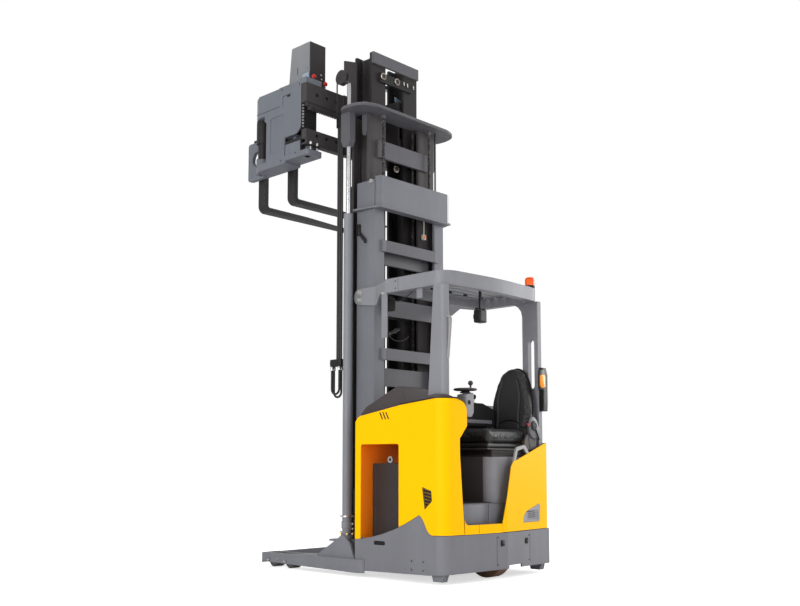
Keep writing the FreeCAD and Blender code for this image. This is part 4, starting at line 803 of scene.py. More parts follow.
# %% [markdown]
# ## Cap at the foot of the near post
# A moulding wraps the rear corner, highest at its middle. It is built as a ship's hull is, from sections: the same
# five points at each station round the corner, joined to the next station's.
# %% Corner cap
cap = bmesh.new()
sections = []
corner_middle = Vector((150.0, 500.0))
for x, y, top in ((222, 637, 1322), (150, 637, 1344), (86, 634, 1353), (38, 609, 1351), (12, 573, 1346), (0, 538, 1334),
                  (-5, 505, 1323)):
    inward = (corner_middle - Vector((x, y))).normalized()
    inner, lip = Vector((x, y)) + inward * 34, Vector((x, y)) + inward * 5
    sections.append([cap.verts.new(mm(*place)) for place in ((x, y, 1308), (x, y, top - 5), (*lip, top),
                                                             (*inner, top), (*inner, 1308))])
for first, second in zip(sections, sections[1:]):
    for index in range(5):
        cap.faces.new((first[index], first[index - 4], second[index - 4], second[index]))
cap.faces.new(sections[0])
cap.faces.new(sections[-1])
finished("corner_cap", cap, finish["moulded_dark"])

# %% [markdown]
# ## Edge trim and the rear grille
# A black extrusion is pressed over the yellow panels' raw top edges. It follows the body's plan, so its path is the
# panel's own outline. The grille beside the entry is nine dark slots that are sunk in the vent panel.
# %% Edge trim and louvres
trim_path = [(640, 430), (640, 150), (637, 84), (612, 34), (574, 8), (540, -8), (507, -14)]
pipes("corner_trim", [[mm(x, y - 2, 1322 - max(0.0, (x - 78)) * 0.096 + 3) for y, x in trim_path]], 6.0, satin_black,
      fine=8)
entry_edge = [(507, 1319), (462, 1312), (424, 1282), (414, 1232), (413, 1124)]
pipes("entry_trim", [[mm(-18 - (y - 412) * 0.03, y, z) for y, z in entry_edge]], 4.0, satin_black, fine=8)
louvres = bmesh.new()
for step in range(9):
    y = -300 - step * 14
    brick(louvres, rear_face(y) + 3.0, rear_face(y) + 6.0, y - 4, y + 4, 436, 492, 1.2, 1)
finished("vent_slots", louvres, gap_black)

# %% [markdown]
# ## Marker lamp
# An amber lens sits in a black bezel on the rear post. Both are slabs on a rounded outline. The lens is bevelled in
# three steps, so that it catches the light along its rim as moulded acrylic does.
# %% Marker lamp on the rear post
lens = bmesh.new()
rim = smooth_run([Vector(pair) for pair in [(-498, 1466), (-498, 1548), (-512, 1560), (-548, 1560), (-558, 1546),
                                            (-558, 1470), (-546, 1456), (-510, 1456), (-498, 1466)]], 3)[:-1]
slab(lens, [mm(-17, p.x, p.y) for p in rim], Vector((-0.016, 0, 0)), 5.0, 3)
finished("marker_lens", lens, amber, "truck")
pod = bmesh.new()
slab(pod, [mm(-19, y, z) for y, z in [(-494, 1440), (-562, 1440), (-568, 1452), (-568, 1570), (-560, 1600),
                                      (-500, 1600), (-490, 1572), (-490, 1450)]], Vector((0.012, 0, 0)), 3.0, 2)
finished("marker_bezel", pod, satin_black, "truck")

# %% [markdown]
# ## Slots in the left panel
# A dark slatted grille breathes beside the driver's feet, and three slanted slots decorate the panel above the battery.
# Each slot is a black sliver about a millimetre proud of the paint. A real cut would need the CAD panel's loose
# triangles to be opened, and at this width the eye can't tell the two apart.
# %% Slots and grille
strokes = bmesh.new()
for x in (626, 594, 562):
    slab(strokes, [mm(x + across, half_width, z) for across, z in ((21, 1238), (8, 1238), (-21, 1184), (-8, 1184))],
         Vector((0, 0.0009, 0)))
top_left, top_right = Vector((211, 686)), Vector((121, 660))
foot_left, foot_right = Vector((186, 525)), Vector((114, 588))
for step in range(13):
    t0, t1 = step / 13 + 0.01, step / 13 + 0.058
    corners = [top_left.lerp(top_right, t0), top_left.lerp(top_right, t1), foot_left.lerp(foot_right, t1),
               foot_left.lerp(foot_right, t0)]
    slab(strokes, [mm(p.x, half_width, p.y) for p in corners], Vector((0, 0.0012, 0)))
finished("side_slots", strokes, gap_black)

# %% [markdown]
# ## The battery
# A traction battery is a welded steel case with a lid, ribs at its ends and a ringed lifting eye on each side, because
# it is changed by crane. The new case takes the place of the plain CAD block.
# %% Battery case and eyes
case_dark = painted("battery steel", (0.036, 0.031, 0.030), (0.10, 0.09, 0.08), 0.42, 0.4, 0.15)
battery_case = bmesh.new()
brick(battery_case, 452, 838, -519, 519, 86, 850, 6.0, 2)
brick(battery_case, 452.5, 837.5, -518, 518, 846, 856, 3.0, 1)
for side in (-1, 1):
    tab = [(-56, 852), (-34, 872), (-26, 904), (26, 904), (34, 872), (56, 852)]
    slab(battery_case, [mm(650 + a, side * 512, z) for a, z in tab], Vector((0, side * 0.006, 0)), 1.2, 1)
    for x in (480, 810):
        brick(battery_case, x - 6, x + 6, side * 519 - 1.5, side * 519 + 1.0, 100, 840, 1.0, 1)
case = finished("battery_case", battery_case, case_dark, "truck")
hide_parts("battery")
eyes = bmesh.new()
for side in (-1, 1):
    turned(eyes, [(0, 14), (0, 25), (3, 27), (6, 25), (6, 14), (0, 14)], mm(650, side * 513, 884), (0, side, 0), 32)
finished("battery_eyes", eyes, zinc)

# %% [markdown]
# ## Cover between the cab and the mast
# The cover ahead of the cab is highest at the left and falls away to the right, so that the driver can see past the
# mast. One side view is scaled in height from station to station across the truck, and the creases between the
# sections are then bevelled wide, as a vacuum-formed sheet would be.
# %% Cowl
profile = [(884, 1190), (884, 1240), (826, 1292), (520, 1426), (486, 1432), (460, 1424), (440, 1345), (438, 1190)]
cover = bmesh.new()
sections = []
foot, top = 1190, 1436
for y, ridge in ((600, 1428), (592, 1436), (330, 1436), (230, 1420), (140, 1352), (60, 1338), (-592, 1332),
                 (-600, 1324)):
    share = (ridge - foot) / (top - foot)
    sections.append([cover.verts.new(mm(x, y, foot + (z - foot) * share)) for x, z in profile])
for first, second in zip(sections, sections[1:]):
    for index in range(len(profile) - 1):
        cover.faces.new((first[index], first[index + 1], second[index + 1], second[index]))
for section in (sections[0], sections[-1]):
    cover.faces.new(section)
creases = [edge for edge in cover.edges if len(edge.link_faces) == 2 and edge.calc_face_angle(0.0) > 0.35]
bevelled(cover, creases, 0.012, 3)
cowl = finished("cowl_cover", cover, moulded("cowl cover", (0.050, 0.041, 0.042), 0.46), crease=25.0)
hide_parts("front_cowl")

# %% [markdown]
# ## Support arms
# Each support arm ends in a welded cap with four screws, the wheels' axles show as bosses on its outer side, and a
# curved rib stiffens its root. Everything is made twice, for side -1 and side 1, so that the two arms can't differ.
# A dark plate behind the slot in each side of the chassis keeps the daylight out.
# %% Arm caps, bosses and ribs
axles, arm_face = (1698, 1909), 670


def rib_edge(radius, side):
    """A quarter of a circle at an arm's root, from its top to its rear."""
    turns = [radians(90 + 7.5 * step) for step in range(13)]
    return [mm(1135 + radius * cos(turn), side * 604, 122 + radius * sin(turn)) for turn in turns]


arms = bmesh.new()
for side in (-1, 1):
    brick(arms, 1991, 1999, side * 489, side * 671, 34, 116, 2.5)
    for x in axles:
        turned(arms, [(0, 0), (0, 17), (4, 17), (7, 13), (7, 0)], mm(x, side * arm_face, 60), (0, side, 0), 28)
    slab(arms, rib_edge(150, side) + rib_edge(140, side)[::-1], Vector((0, -side * 0.050, 0)), 1.0, 1)
finished("arm_fittings", arms, finish["frame_grey"])
caps = [mm(1999, side * y, z) for side in (-1, 1) for y in (520, 640) for z in (56, 94)]
bolts("arm_cap_bolts", caps, (1, 0, 0), 11)
axle_caps = bmesh.new()
for side in (-1, 1):
    for x in axles:
        hexagon(axle_caps, mm(x, side * (arm_face + 7), 60), (0, side, 0), 16, 6)
    turned(axle_caps, [(0, 0), (0, 6), (3, 6), (3, 0)], mm(1800, side * arm_face, 74), (0, side, 0), 16)
finished("axle_nuts", axle_caps, zinc)
slots = bmesh.new()
for side in (-1, 1):
    brick(slots, 570, 718, side * 626, side * 630, 236, 292, 0.0)
finished("slot_backing", slots, gap_black)

# %% [markdown]
# ## Hydraulics at the mast's foot
# Hoses and a valve block fill the space between the mast's foot and the lift cylinder, and the cylinder stands on four
# brass-coloured nuts. Short hoses that are held at both ends don't hang, so they are pipes on a smooth curve.
# %% Hoses, valve block and fittings at the mast's foot
foot_hoses = []
for side in (-1, 1):
    for x in (1142, 1165, 1188):
        foot_hoses.append([mm(x, side * 420, z) for z in (104, 250, 430, 648)])
    foot_hoses.append([mm(x, side * y, z) for x, y, z in ((1128, 470, 372), (1108, 462, 330), (1096, 448, 250),
                                                          (1092, 440, 130))])
pipes("foot_hoses", foot_hoses, 10.5, finish["hose_rubber"])
valves = bmesh.new()
for side in (-1, 1):
    brick(valves, 1092, 1140, side * 446, side * 470, 316, 404, 3.0)
    for z in (448, 236):
        brick(valves, 1126, 1204, side * 408, side * 434, z, z + 22, 3.0)
finished("valve_blocks", valves, satin_black)
unions = bmesh.new()
for side in (-1, 1):
    for z in (338, 378):
        turned(unions, [(0, 0), (0, 11), (8, 11), (9, 8), (17, 8), (17, 0)], mm(1112, side * 470, z), (0, side, 0), 20)
        hexagon(unions, mm(1112, side * 484, z), (0, side, 0), 17, 9)
    turned(unions, [(0, 38), (0, 54), (10, 54), (10, 38)], mm(1150, side * 497, 434), (0, 0, 1), 40)
    turned(unions, [(0, 0), (0, 9), (22, 9), (22, 0)], mm(1196, side * 520, 300), (0, 0, 1), 18)
finished("hydraulic_unions", unions, zinc)
nuts = bmesh.new()
for side in (-1, 1):
    for x, y in ((1112, 470), (1186, 470), (1112, 528), (1186, 528)):
        hexagon(nuts, mm(x, side * y, 296), (0, 0, 1), 19, 12)
finished("cylinder_foot_nuts", nuts, brass)

# %% [markdown]
# ## Leaf chains
# A leaf chain is plates on pins with no rollers. Each strand hangs between two stages of the mast and is one piece that
# rides on neither stage. Its plates are plain blocks of six faces, because there are hundreds of them.
# %% Leaf chains
chain_steel = painted("oiled chain", (0.030, 0.027, 0.026), (0.30, 0.29, 0.28), 0.36, 0.9, 0.1)


def leaf_chain(name, x, y, top, foot, pitch=19.0):
    shape = bmesh.new()
    for index in range(int((top - foot) / pitch)):
        z = foot + index * pitch
        for offset in ((-7, 1.5), (-1.5, 7))[index % 2]:
            brick(shape, x - 8, x + 8, y + offset - 1.6, y + offset + 1.6, z - 5, z + pitch + 5, 0.0)
        brick(shape, x - 4.5, x + 4.5, y - 9.6, y + 9.6, z - 3.5, z + 3.5, 2.4, 1)
    strand = finished(name, shape, chain_steel, None)
    tuple(mm(x, y, foot + 40))
    tuple(mm(x, y, top - 40))
    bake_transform(strand)


for side, hand in ((1, "left"), (-1, "right")):
    leaf_chain("chain_outer_" + hand, 962, side * 282, 3734, 3010)
    leaf_chain("chain_inner_" + hand, 1060, side * 178, 3732, 1500)
anchors = bmesh.new()
for side in (-1, 1):
    brick(anchors, 948, 976, side * 268, side * 296, 3704, 3734.5, 3.0)
finished("chain_anchors", anchors, finish["cross_grey"], "middle_stage")

# %% [markdown]
# ## Guide rollers
# Guide rollers sit in the inner stage's second beam, their bright outer races turned towards the driver. A race and
# its hub are two turned parts, because they are two finishes.
# %% Rollers
beam_x = 1083
races = bmesh.new()
hubs = bmesh.new()
for y, z in ((162, 4130), (-5, 4130), (6, 3356)):
    turned(races, [(0, 19), (0, 29), (5, 31), (9, 29), (9, 20), (0, 19)], mm(beam_x, y, z), (-1, 0, 0), 40)
    turned(hubs, [(0, 0), (0, 19), (5, 19), (5, 8), (8, 7), (8, 0)], mm(beam_x, y, z), (-1, 0, 0), 32)
finished("roller_races", races, bright_steel("roller race", (0.42, 0.37, 0.33), 0.34, 60.0), "inner_stage")
finished("roller_hubs", hubs, finish["mast_dark"], "inner_stage")

# %% [markdown]
# ## Wear tracks
# Where the stages rub, paint has worn off the rails to leave a strip of polished steel. Each strip is a thin block, so
# that it keeps a straight edge, where a worn mask in the paint would have a ragged one. A pale blue plate guards the
# carriage, and its pale blue is a painted highlight, the bluish shine of a dark plate. Three bolts hold the ends of the
# lift chains.
# %% Tracks, shield and chain bolts
tracks = bmesh.new()
for side in (-1, 1):
    brick(tracks, 1282.2, 1283.2, side * 199, side * 213, 3766, 4316, 0.0)
    brick(tracks, 1128.4, 1129.4, side * 232, side * 243, 3770, 4310, 0.0)
finished("wear_tracks", tracks, bright_steel("worn rail", (0.66, 0.66, 0.68), 0.28, 30.0), "inner_stage")
# Painted highlight: the shield's pale blue stands for the bluish shine of a dark plate.
shield_highlight_blue = painted("carriage shield painted highlight", (0.26, 0.34, 0.42), gloss=0.22, wear=0.1, dust=0.0)
shield = bmesh.new()
slab(shield, [mm(1200, y, z) for y, z in ((-98, 4060), (-176, 4046), (-176, 4012), (-140, 3992), (-98, 4018))],
     Vector((0.003, 0, 0)), 1.0, 1)
finished("carriage_shield", shield, shield_highlight_blue, "carriage")
middle_tracks = bmesh.new()
for side in (-1, 1):
    brick(middle_tracks, 1189.0, 1193.2, side * 330, side * 338, 3190, 3480, 0.0)
    brick(middle_tracks, 1041.0, 1042.0, side * 398.2, side * 397, 3200, 3420, 0.0)
finished("middle_wear_tracks", middle_tracks, bright_steel("worn middle rail", (0.34, 0.33, 0.34), 0.34, 30.0),
         "middle_stage")
chain_bolts = bmesh.new()
for y in (-86, -128, -205):
    turned(chain_bolts, [(0, 0), (0, 8), (10, 8), (14, 5), (14, 0)], mm(beam_x, y, 4136), (-1, 0, 0), 20)
    brick(chain_bolts, beam_x - 13, beam_x, y - 4, y + 4, 4118, 4152, 2.0)
finished("chain_bolts", chain_bolts, zinc, "inner_stage")

# %% [markdown]
# ## Lever and switch
# Two eye nuts and a release lever are fixed to the outer mast's left side, and a switch with a whip and an orange cap
# tells the truck how high the forks are. They are turned, sawn and cut as the rest is, a few solids for each piece.
# %% Eye nuts, release lever and height switch
eye_nuts = bmesh.new()
for x, z in ((962, 3140), (1040, 2662)):
    turned(eye_nuts, [(0, 8), (0, 17), (4, 19), (10, 17), (10, 8), (0, 8)], mm(x, 420, z), (0, 1, 0), 32)
    turned(eye_nuts, [(0, 8.5), (0, 2), (5, 2), (5, 0)], mm(x, 422, z), (0, 1, 0), 20)
finished("eye_nuts", eye_nuts, zinc)
lever = bmesh.new()
brick(lever, 1078, 1112, 424, 446, 2706, 2800, 5.0, 3)
slab(lever, [mm(x, 430, z) for x, z in [(1098, 2760), (1106, 2744), (1022, 2632), (1006, 2640), (1010, 2668)]],
     Vector((0, 0.012, 0)), 3.0, 2)
finished("release_lever", lever, satin_black)
switch = bmesh.new()
brick(switch, 948, 972, -228, -192, 2758, 2802, 3.0)
brick(switch, 954, 964, -214, -206, 2802, 2921, 1.5, 1)
finished("height_switch", switch, moulded("switch body", (0.42, 0.38, 0.33), 0.4), "truck")
switch_cap = bmesh.new()
turned(switch_cap, [(0, 0), (0, 12), (5, 12), (8, 9), (9, 0)], mm(948, -210, 2780), (-1, 0, 0), 24)
finished("height_switch_cap", switch_cap, moulded("orange cap", (0.80, 0.16, 0.02), 0.35), "truck")

# %% [markdown]
# ## Hose and cable on the mast
# A hose at the right joins the outer mast to the middle stage, which rises away from it. It is a mesh with a ring of
# points every 27 mm, and it rides on neither body.
# The cable at the left moves with the middle stage alone.
# %% Right hose and sheave cable
right_hose = bmesh.new()
turned(right_hose, [(0, 0)] + [(27 * step, 7.5) for step in range(21)] + [(540, 0)], mm(972, -372, 3194), (0, 0, 1), 16)
hose = finished("right_hose", right_hose, finish["hose_rubber"], None)
tuple(mm(972, -372, 3214))
tuple(mm(972, -372, 3714))
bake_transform(hose)
cable = [(1222, 512, 4106), (1262, 512, 4092), (1284, 509, 4040), (1284, 506, 3900), (1284, 505, 3800),
         (1284, 505, 3764)]
pipes("sheave_cable", [[mm(*place) for place in cable]], 6.0, finish["hose_rubber"], "middle_stage")

# %% [markdown]
# ## Welds on the mast's crown
# A bead of weld runs along the crown's plate, and a fold shows as a thin dark line. The bead is turned with a radius
# that varies a little along its run, which is what a hand weld looks like from a metre away.
# %% Crown welds and fold
weld = bmesh.new()
for z in (2919, 3176):
    for side in (-1, 1):
        turned(weld, [(0, 0), (0, 3.2), (60, 3.6), (120, 3.0), (176, 3.4), (176, 0)], mm(925.5, side * 240, z),
               (0, side, 0), 8)
finished("crown_welds", weld, finish["mast_grey"])
crown_line = bmesh.new()
for side in (-1, 1):
    brick(crown_line, 858.4, 859.2, side * 418, side * 419.4, 2925, 3170, 0.0)
finished("crown_fold", crown_line, finish["cross_grey"])

# %% [markdown]
# ## The turning head's rear
# A dark sheet between the two rails that the head slides along is painted shade on the head's rear, and a row of bolts
# stands on it; a second dark sheet closes the swivel motor. Two red stops release the swivel drive.
# %% Painted shade on the head's rear, motor cover and stops
# Painted shade: a dark sheet where the head's rear lies in shade between the rails; the same dark paint serves the
# roller plate below.
shade_and_dark_plate = painted("painted shade and dark plate", (0.014, 0.0125, 0.0125), (0.1, 0.1, 0.1), 0.5, 0.3, 0.05)
sheet = bmesh.new()
brick(sheet, 1485, 1489.8, 557, 724, 3400, 4012, 1.0, 1)
finished("head_rear_painted_shade", sheet, shade_and_dark_plate, "head")
motor_rear = bmesh.new()
brick(motor_rear, 1502, 1507.6, 445, 619, 4072, 4426, 2.0, 1)
finished("motor_rear_cover", motor_rear, painted("motor rear paint", (0.031, 0.0255, 0.0265), gloss=0.45), "head")
edge_bolts = [mm(1485, 706, 3655 + 26 * step) for step in range(8)]
bolts("head_edge_bolts", edge_bolts, (-1, 0, 0), 11, "head")
stop_red = moulded("release stop", (0.62, 0.012, 0.010), 0.3)
stops = bmesh.new()
necks = bmesh.new()
for y, z in ((592, 4116), (462, 4086)):
    turned(stops, [(10, 0), (10, 10), (13, 18), (20, 20), (25, 17), (28, 9), (28, 0)], mm(1499, y, z), (-1, 0, 0), 32)
    turned(necks, [(0, 0), (0, 15), (3, 15), (3, 9), (12, 9), (12, 0)], mm(1499.5, y, z), (-1, 0, 0), 24)
finished("release_stops", stops, stop_red, "head")
finished("release_stop_necks", necks, zinc, "head")
bolts("motor_cover_screws", [mm(1500, y, z) for y, z in ((560, 4132), (490, 4124), (496, 4160))], (-1, 0, 0), 10,
      "head")

# %% [markdown]
# ## The turning head's left side
# Slots, folds and tapped holes show as dark marks on the head's left plate, and two small plates close it. A mark is a
# sliver less than 1 mm thick in the colour of a deep gap.
# %% Marks and plates
marks = bmesh.new()
brick(marks, 1658, 1664, 621.9, 622.9, 4172, 4236, 0.0)
turned(marks, [(0, 0), (0, 5), (0.9, 5), (0.9, 0)], mm(1530, 622, 4196), (0, 1, 0), 20)
for x0, x1, z0, z1 in ((1770, 2086, 3889, 3893), (1726, 1731, 3878, 3970), (1626, 1731, 3965, 3970),
                       (1630, 1672, 3947, 3965)):
    brick(marks, x0, x1, 724.8, 725.5, z0, z1, 0.0)
for x, z in ((1512, 4020), (1740, 4030), (1752, 3412), (1560, 3440)):
    turned(marks, [(0, 0), (0, 7), (0.9, 7), (0.9, 0)], mm(x, 725, z), (0, 1, 0), 20)
finished("head_marks", marks, gap_black, "head")
closing = bmesh.new()
brick(closing, 1500, 1692, 718, 724.7, 3404, 3562, 2.0)
finished("head_closing_plate", closing, own["traverse_head"], "head")
plate = bmesh.new()
brick(plate, 1512, 1600, 621.5, 624, 4104, 4160, 3.0)
finished("motor_side_plate", plate, painted("pale blue plate", (0.30, 0.36, 0.43), gloss=0.3, wear=0.1, dust=0.0),
         "head")

# %% [markdown]
# ## Guide rollers and pivot
# Two rollers on upright pins run along the head's lower rail, on a dark plate. The cap over the forks' pivot is one
# turned part with a step for its nut.
# %% Guide rollers and pivot cap
under = bmesh.new()
under_dark = bmesh.new()
for y in (612, 683):
    turned(under, [(0, 0), (0, 11), (3, 13), (19, 13), (22, 11), (22, 0)], mm(1412, y, 3489), (0, 0, 1), 32)
    turned(under, [(0, 0), (0, 6), (44, 6), (44, 0)], mm(1414, y, 3446), (0, 0, 1), 20)
    hexagon(under, mm(1414, y, 3446), (0, 0, 1), 18, 9)
brick(under_dark, 1400, 1426, 592, 704, 3472, 3484, 3.0)
brick(under_dark, 1500, 1692, 724.7, 725.4, 3536, 3560, 0.0)
finished("guide_rollers", under, zinc, "head")
finished("guide_roller_plate", under_dark, shade_and_dark_plate, "head")
pivot = bmesh.new()
turned(pivot, [(0, 0), (0, 52), (6, 50), (6, 26), (12, 24), (12, 0)], mm(2098, 640, 4050), (0, 0, 1), 48)
finished("pivot_cap", pivot, own["traverse_head"], "head")

# %% [markdown]
# ## Beacon
# An amber dome warns of the truck on the far rear corner of the roof. Dome and base are turned about one upright axis,
# the dome open below and the base just under it, as the real lens is screwed on.
# %% Beacon
dome = bmesh.new()
turned(dome, [(0, 34), (0, 38), (46, 38), (60, 34), (68, 24), (71, 10), (71, 0)], mm(53, -480, 2281), (0, 0, 1), 48)
finished("beacon_dome", dome, moulded("amber dome", (0.95, 0.115, 0.012), 0.22, 60.0, 0.5), "truck")
base = bmesh.new()
turned(base, [(0.2, 0), (0.2, 42), (14, 42), (19, 39), (19, 0)], mm(53, -480, 2262), (0, 0, 1), 48)
finished("beacon_base", base, satin_black, "truck")

# %% [markdown]
# ## Work lamps
# Two lamps hang below the roof, both turned forwards. Each has a lens, a rim and a strap that is bent round its
# housing. One loop builds both, and the three finishes are collected in three bmeshes.
# %% Lenses, rims and straps
lenses, rims, straps = bmesh.new(), bmesh.new(), bmesh.new()
for x, y, z in ((730, 450, 2095), (150, 36, 1985)):
    turned(lenses, [(0, 0), (0, 30), (2, 28), (4, 14), (5, 0)], mm(x + 36, y, z), (1, 0, 0), 36)
    turned(rims, [(0, 29), (0, 36), (5, 36), (6, 31), (2, 29), (0, 29)], mm(x + 36, y, z), (1, 0, 0), 36)
    for side in (-1, 1):
        brick(straps, x - 13, x + 13, y + side * 44 - 1.5, y + side * 44 + 1.5, z - 12, z + 62, 1.0, 1)
        hexagon(straps, mm(x, y + side * 45.5, z), (0, side, 0), 15, 6)
    brick(straps, x - 13, x + 13, y - 45, y + 45, z + 60, z + 64, 1.0, 1)
finished("lamp_lenses", lenses, bright_steel("lamp reflector", (0.80, 0.82, 0.84), 0.2, 200.0))
finished("lamp_rims", rims, satin_black, "truck")
finished("lamp_straps", straps, satin_black, "truck")

# %% [markdown]
# ## Guard fittings
# The guard's arms end in two bolts each on the mast, four dark blocks under the roof panel are painted shade in its
# holes, and a mirror hangs from a bracket by a bent arm. Thin dark seams show where the guard's parts are joined.
# %% Bolts, painted shade in the roof's holes, mirror and seams
arm_bolts = bmesh.new()
for side in (-1, 1):
    for rise in (-31, 31):
        bolt(arm_bolts, mm(1068, side * 446, 2197 + rise), (0, side, 0), 30)
finished("guard_arm_bolts", arm_bolts, zinc)
# Painted shade: four dark blocks where the roof panel has dark holes.
roof_hole_shade = bmesh.new()
for y in (200, -10, -200, -400):
    brick(roof_hole_shade, 484, 506, y - 16, y + 16, 2214, 2229, 3.0)
finished("roof_holes_painted_shade", roof_hole_shade, gap_black)
bracket = bmesh.new()
brick(bracket, 640, 704, 556, 562, 1816, 2180, 2.0)
finished("mirror_bracket", bracket, own["overhead_guard"], "truck")
bolts("mirror_bolts", [mm(x, 562, 2164) for x in (656, 688)], (0, 1, 0), 13)
mirror_arm = [(652, 556, 1846), (652, 520, 1852), (650, 470, 1872), (648, 424, 1894)]
pipes("mirror_arm", [[mm(*place) for place in mirror_arm]], 13.0, satin_black)
socket = bmesh.new()
turned(socket, [(0, 0), (0, 21), (10, 24), (26, 18), (30, 0)], mm(652, 556, 1845), (0, -1, 0), 28)
turned(socket, [(0, 0), (0, 9), (34, 9), (36, 0)], mm(648, 466, 1858), (0, 0, 1), 20)
finished("mirror_socket", socket, satin_black)
leads = [[(640, 545, 1834), (640, 500, 1800), (640, 430, 1798), (640, 360, 1812), (640, 323, 1846)],
         [(706, 500, 2150), (670, 450, 2110), (620, 400, 2120), (560, 360, 2190)]]
pipes("lamp_leads", [[mm(*place) for place in lead] for lead in leads], 3.5, finish["hose_rubber"])
seams = bmesh.new()
for side in (-1, 1):
    brick(seams, 497, 500, side * 589.6, side * 590.6, 2160, 2258, 0.0)
    for z in (2180, 2236):
        turned(seams, [(0, 0), (0, 6), (1.2, 5), (1.2, 0)], mm(528, side * 590, z), (0, side, 0), 16)
finished("guard_seams", seams, gap_black, "truck")

# %% [markdown]
# ## Hoses on the left of the mast
# Three hoses climb the mast and are tied down, so they are plain pipes. One clamp holds their feet and another their
# heads.
# %% Straight hoses and their clamp
hoses_y, pitch = 491, 22
straight = [[mm(1234 + pitch * index, hoses_y, z) for z in (1660, 2400, 3200, 3695)] for index in range(3)]
pipes("mast_hoses", straight, 10.0, finish["hose_rubber"], "middle_stage")
clamp = bmesh.new()
brick(clamp, 1216, 1346, 467, 515, 1640, 1700, 8.0, 3)
brick(clamp, 1210.1, 1296, 473, 505, 3640, 3735, 5.0, 2)
for x in (1232, 1330):
    bolt(clamp, mm(x, 515, 1670), (0, 1, 0), 11)
clamped = finished("hose_clamp", clamp, satin_black, "middle_stage")
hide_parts("hose_bundle")

# %% [markdown]
# ## Slack loops
# Each loop below the clamp is a hose that hangs from two unions and comes back up. Its route is given for one half, as
# distances from the loop's middle, and mirrored, so that it hangs evenly.
# %% Hose loops
loop_middle, half_span = 1286, 44
ferrules = bmesh.new()
for number, shift, length in ((1, -12, 0.576), (2, 12, 0.528)):
    y, low = hoses_y + shift, 1404 + shift
    half = [(half_span, 1655), (half_span, 1560), (half_span, low + 62), (half_span, low + 26), (18, low)]
    path = [mm(loop_middle - out, y, z) for out, z in half] + [mm(loop_middle + out, y, z) for out, z in half[::-1]]
    curve = pipes("hose_loop_" + str(number), [path], 9.0, finish["hose_rubber"], "middle_stage", fine=8)
    print("hose loop", number, "length", length)
    for way in (-1, 1):
        turned(ferrules, [(0, 10.5), (0, 13), (26, 13), (30, 11), (30, 10.5), (0, 10.5)],
               mm(loop_middle + way * half_span, y, 1610), (0, 0, 1), 24)
finished("hose_ferrules", ferrules, zinc, "middle_stage")

# %% [markdown]
# ## What the operator's hands reach
# The left hand rests on the steering disc above a pale pod with the key switch. The right arm lies on a console with
# levers for the mast and the fork head. Nearly all of these are turned parts, which a lathe and a mould both give.
# %% Key switch, ledge and levers
ledge = bmesh.new()
brick(ledge, 333, 345, -333, 17, 1170, 1199, 3.0)
finished("console_ledge", ledge, finish["moulded_grey"])
collar = bmesh.new()
turned(collar, [(0, 14), (0, 40), (6, 40), (12, 30), (18, 28), (18, 14), (0, 14)], mm(80, 306, 1374), (0, 0, 1), 40)
finished("disc_collar", collar, satin_black)
switch_plate = bmesh.new()
turned(switch_plate, [(0, 0), (0, 17), (1.5, 17), (1.5, 12), (0.6, 11), (0.6, 0)], mm(30, 322, 1302), (-1, 0, 0), 36)
finished("key_switch", switch_plate, gap_black, "truck")
levers, grips = bmesh.new(), bmesh.new()
for y in (-60, -120, -180):
    turned(levers, [(0, 0), (0, 11), (10, 9), (12, 5), (46, 5), (46, 0)], mm(392, y, 1330), (0, 0, 1), 24)
    turned(grips, [(0, 0), (0, 9), (10, 14), (24, 15), (34, 12), (40, 0)], mm(392, y, 1366), (0, 0, 1), 28)
finished("lever_stalks", levers, zinc)
finished("lever_grips", grips, satin_black)

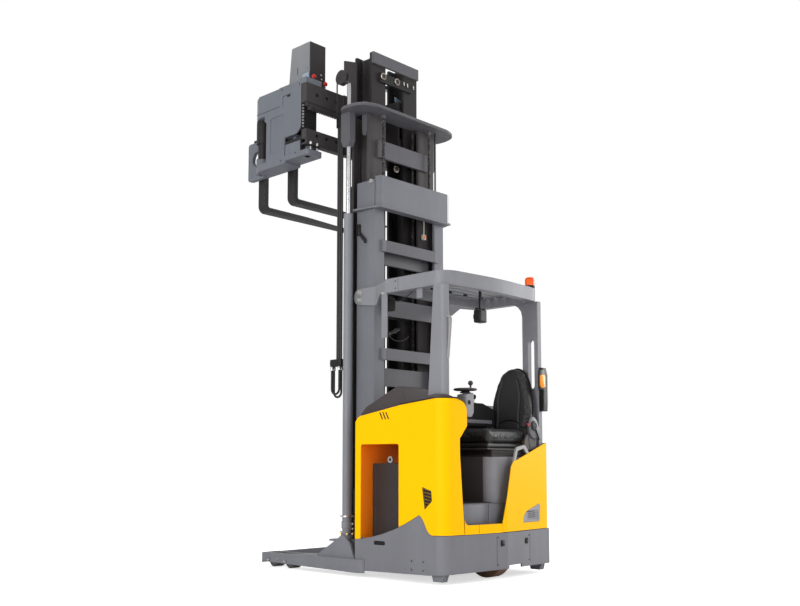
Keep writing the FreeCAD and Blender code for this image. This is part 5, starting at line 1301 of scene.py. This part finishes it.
# %% [markdown]
# ## Floor
# A pale floor shows the truck's shadow. To the camera it adds a little light of its own, which brings it up to the
# white of a catalogue page, and it doesn't throw that light on the truck.
# %% Floor
floor_data = bmesh.new()
bmesh.ops.create_grid(floor_data, x_segments=1, y_segments=1, size=60.0)
floor_mesh = bpy.data.meshes.new("floor")
floor_data.to_mesh(floor_mesh)
floor_data.free()
floor = bpy.data.objects.new("floor", floor_mesh)
floor.location.z = -0.0005
scene.collection.objects.link(floor)
ground = Finish("studio floor", None)
seen = ground.node("LightPath")
pale = ground.noise(0.6, 2.0).between(0.2, 0.8)
ground.finish(Base_Color=ground.mix(pale, (0.80, 0.80, 0.80), (0.82, 0.82, 0.82)), Roughness=0.9,
              Emission_Color=(1.0, 1.0, 1.0), Emission_Strength=seen * 0.62)
floor_mesh.materials.append(ground.material)
print("floor at", floor.location.z)

# %% [markdown]
# ## Surround
# The camera, mirror reflections and glass see the surround at up to full white, but it lights the truck at half that
# level. A Light Path node tells the kinds of ray apart, and the larger of its masks sets the strength.
# %% Surround
world = bpy.data.worlds.new("surround")
scene.world = world
world.use_nodes = True
sky = Wiring(world.node_tree)
ray = sky.node("LightPath")
white = ray.maths("MAXIMUM", ray, ray.other("Is Glossy Ray") * 0.35)
white = ray.maths("MAXIMUM", white, ray.other("Is Transmission Ray"))
surround_level = 0.50
background = world.node_tree.nodes["Background"]
sky.feed(background.inputs["Color"], (1.0, 1.0, 1.0))
sky.feed(background.inputs["Strength"], sky.node("MapRange", None, Value=white, To_Min=surround_level))
print("surround lights at", surround_level)

# %% [markdown]
# ## Lamps
# Large soft lamps at the sides, behind and above give the truck's faces their different brightness. Each is an area
# lamp that is aimed from one point at another, because two points are easier to plan than three angles.
# %% Softboxes
def softbox(name, place, aim, width, height, watts):
    lamp = bpy.data.lights.new(name, "AREA")
    lamp.shape = "RECTANGLE"
    lamp.size = width
    lamp.size_y = height
    lamp.energy = watts
    holder = bpy.data.objects.new(name, lamp)
    holder.location = place
    holder.rotation_euler = (Vector(aim) - Vector(place)).to_track_quat("-Z", "Y").to_euler()
    scene.collection.objects.link(holder)
    print(name, watts, "W")


softbox("softbox right", (-4.2, -8.5, 3.4), (-1.0, 0.0, 1.4), 4.0, 5.0, 520.0)
softbox("softbox left", (-1.8, 8.5, 2.6), (-0.4, 0.0, 1.6), 4.5, 5.0, 420.0)
softbox("softbox rear", (-8.5, 1.0, 3.2), (-0.4, 0.0, 1.8), 4.0, 4.0, 150.0)
softbox("softbox over", (0.5, 0.5, 9.0), (0.0, 0.0, 1.5), 6.0, 6.0, 260.0)
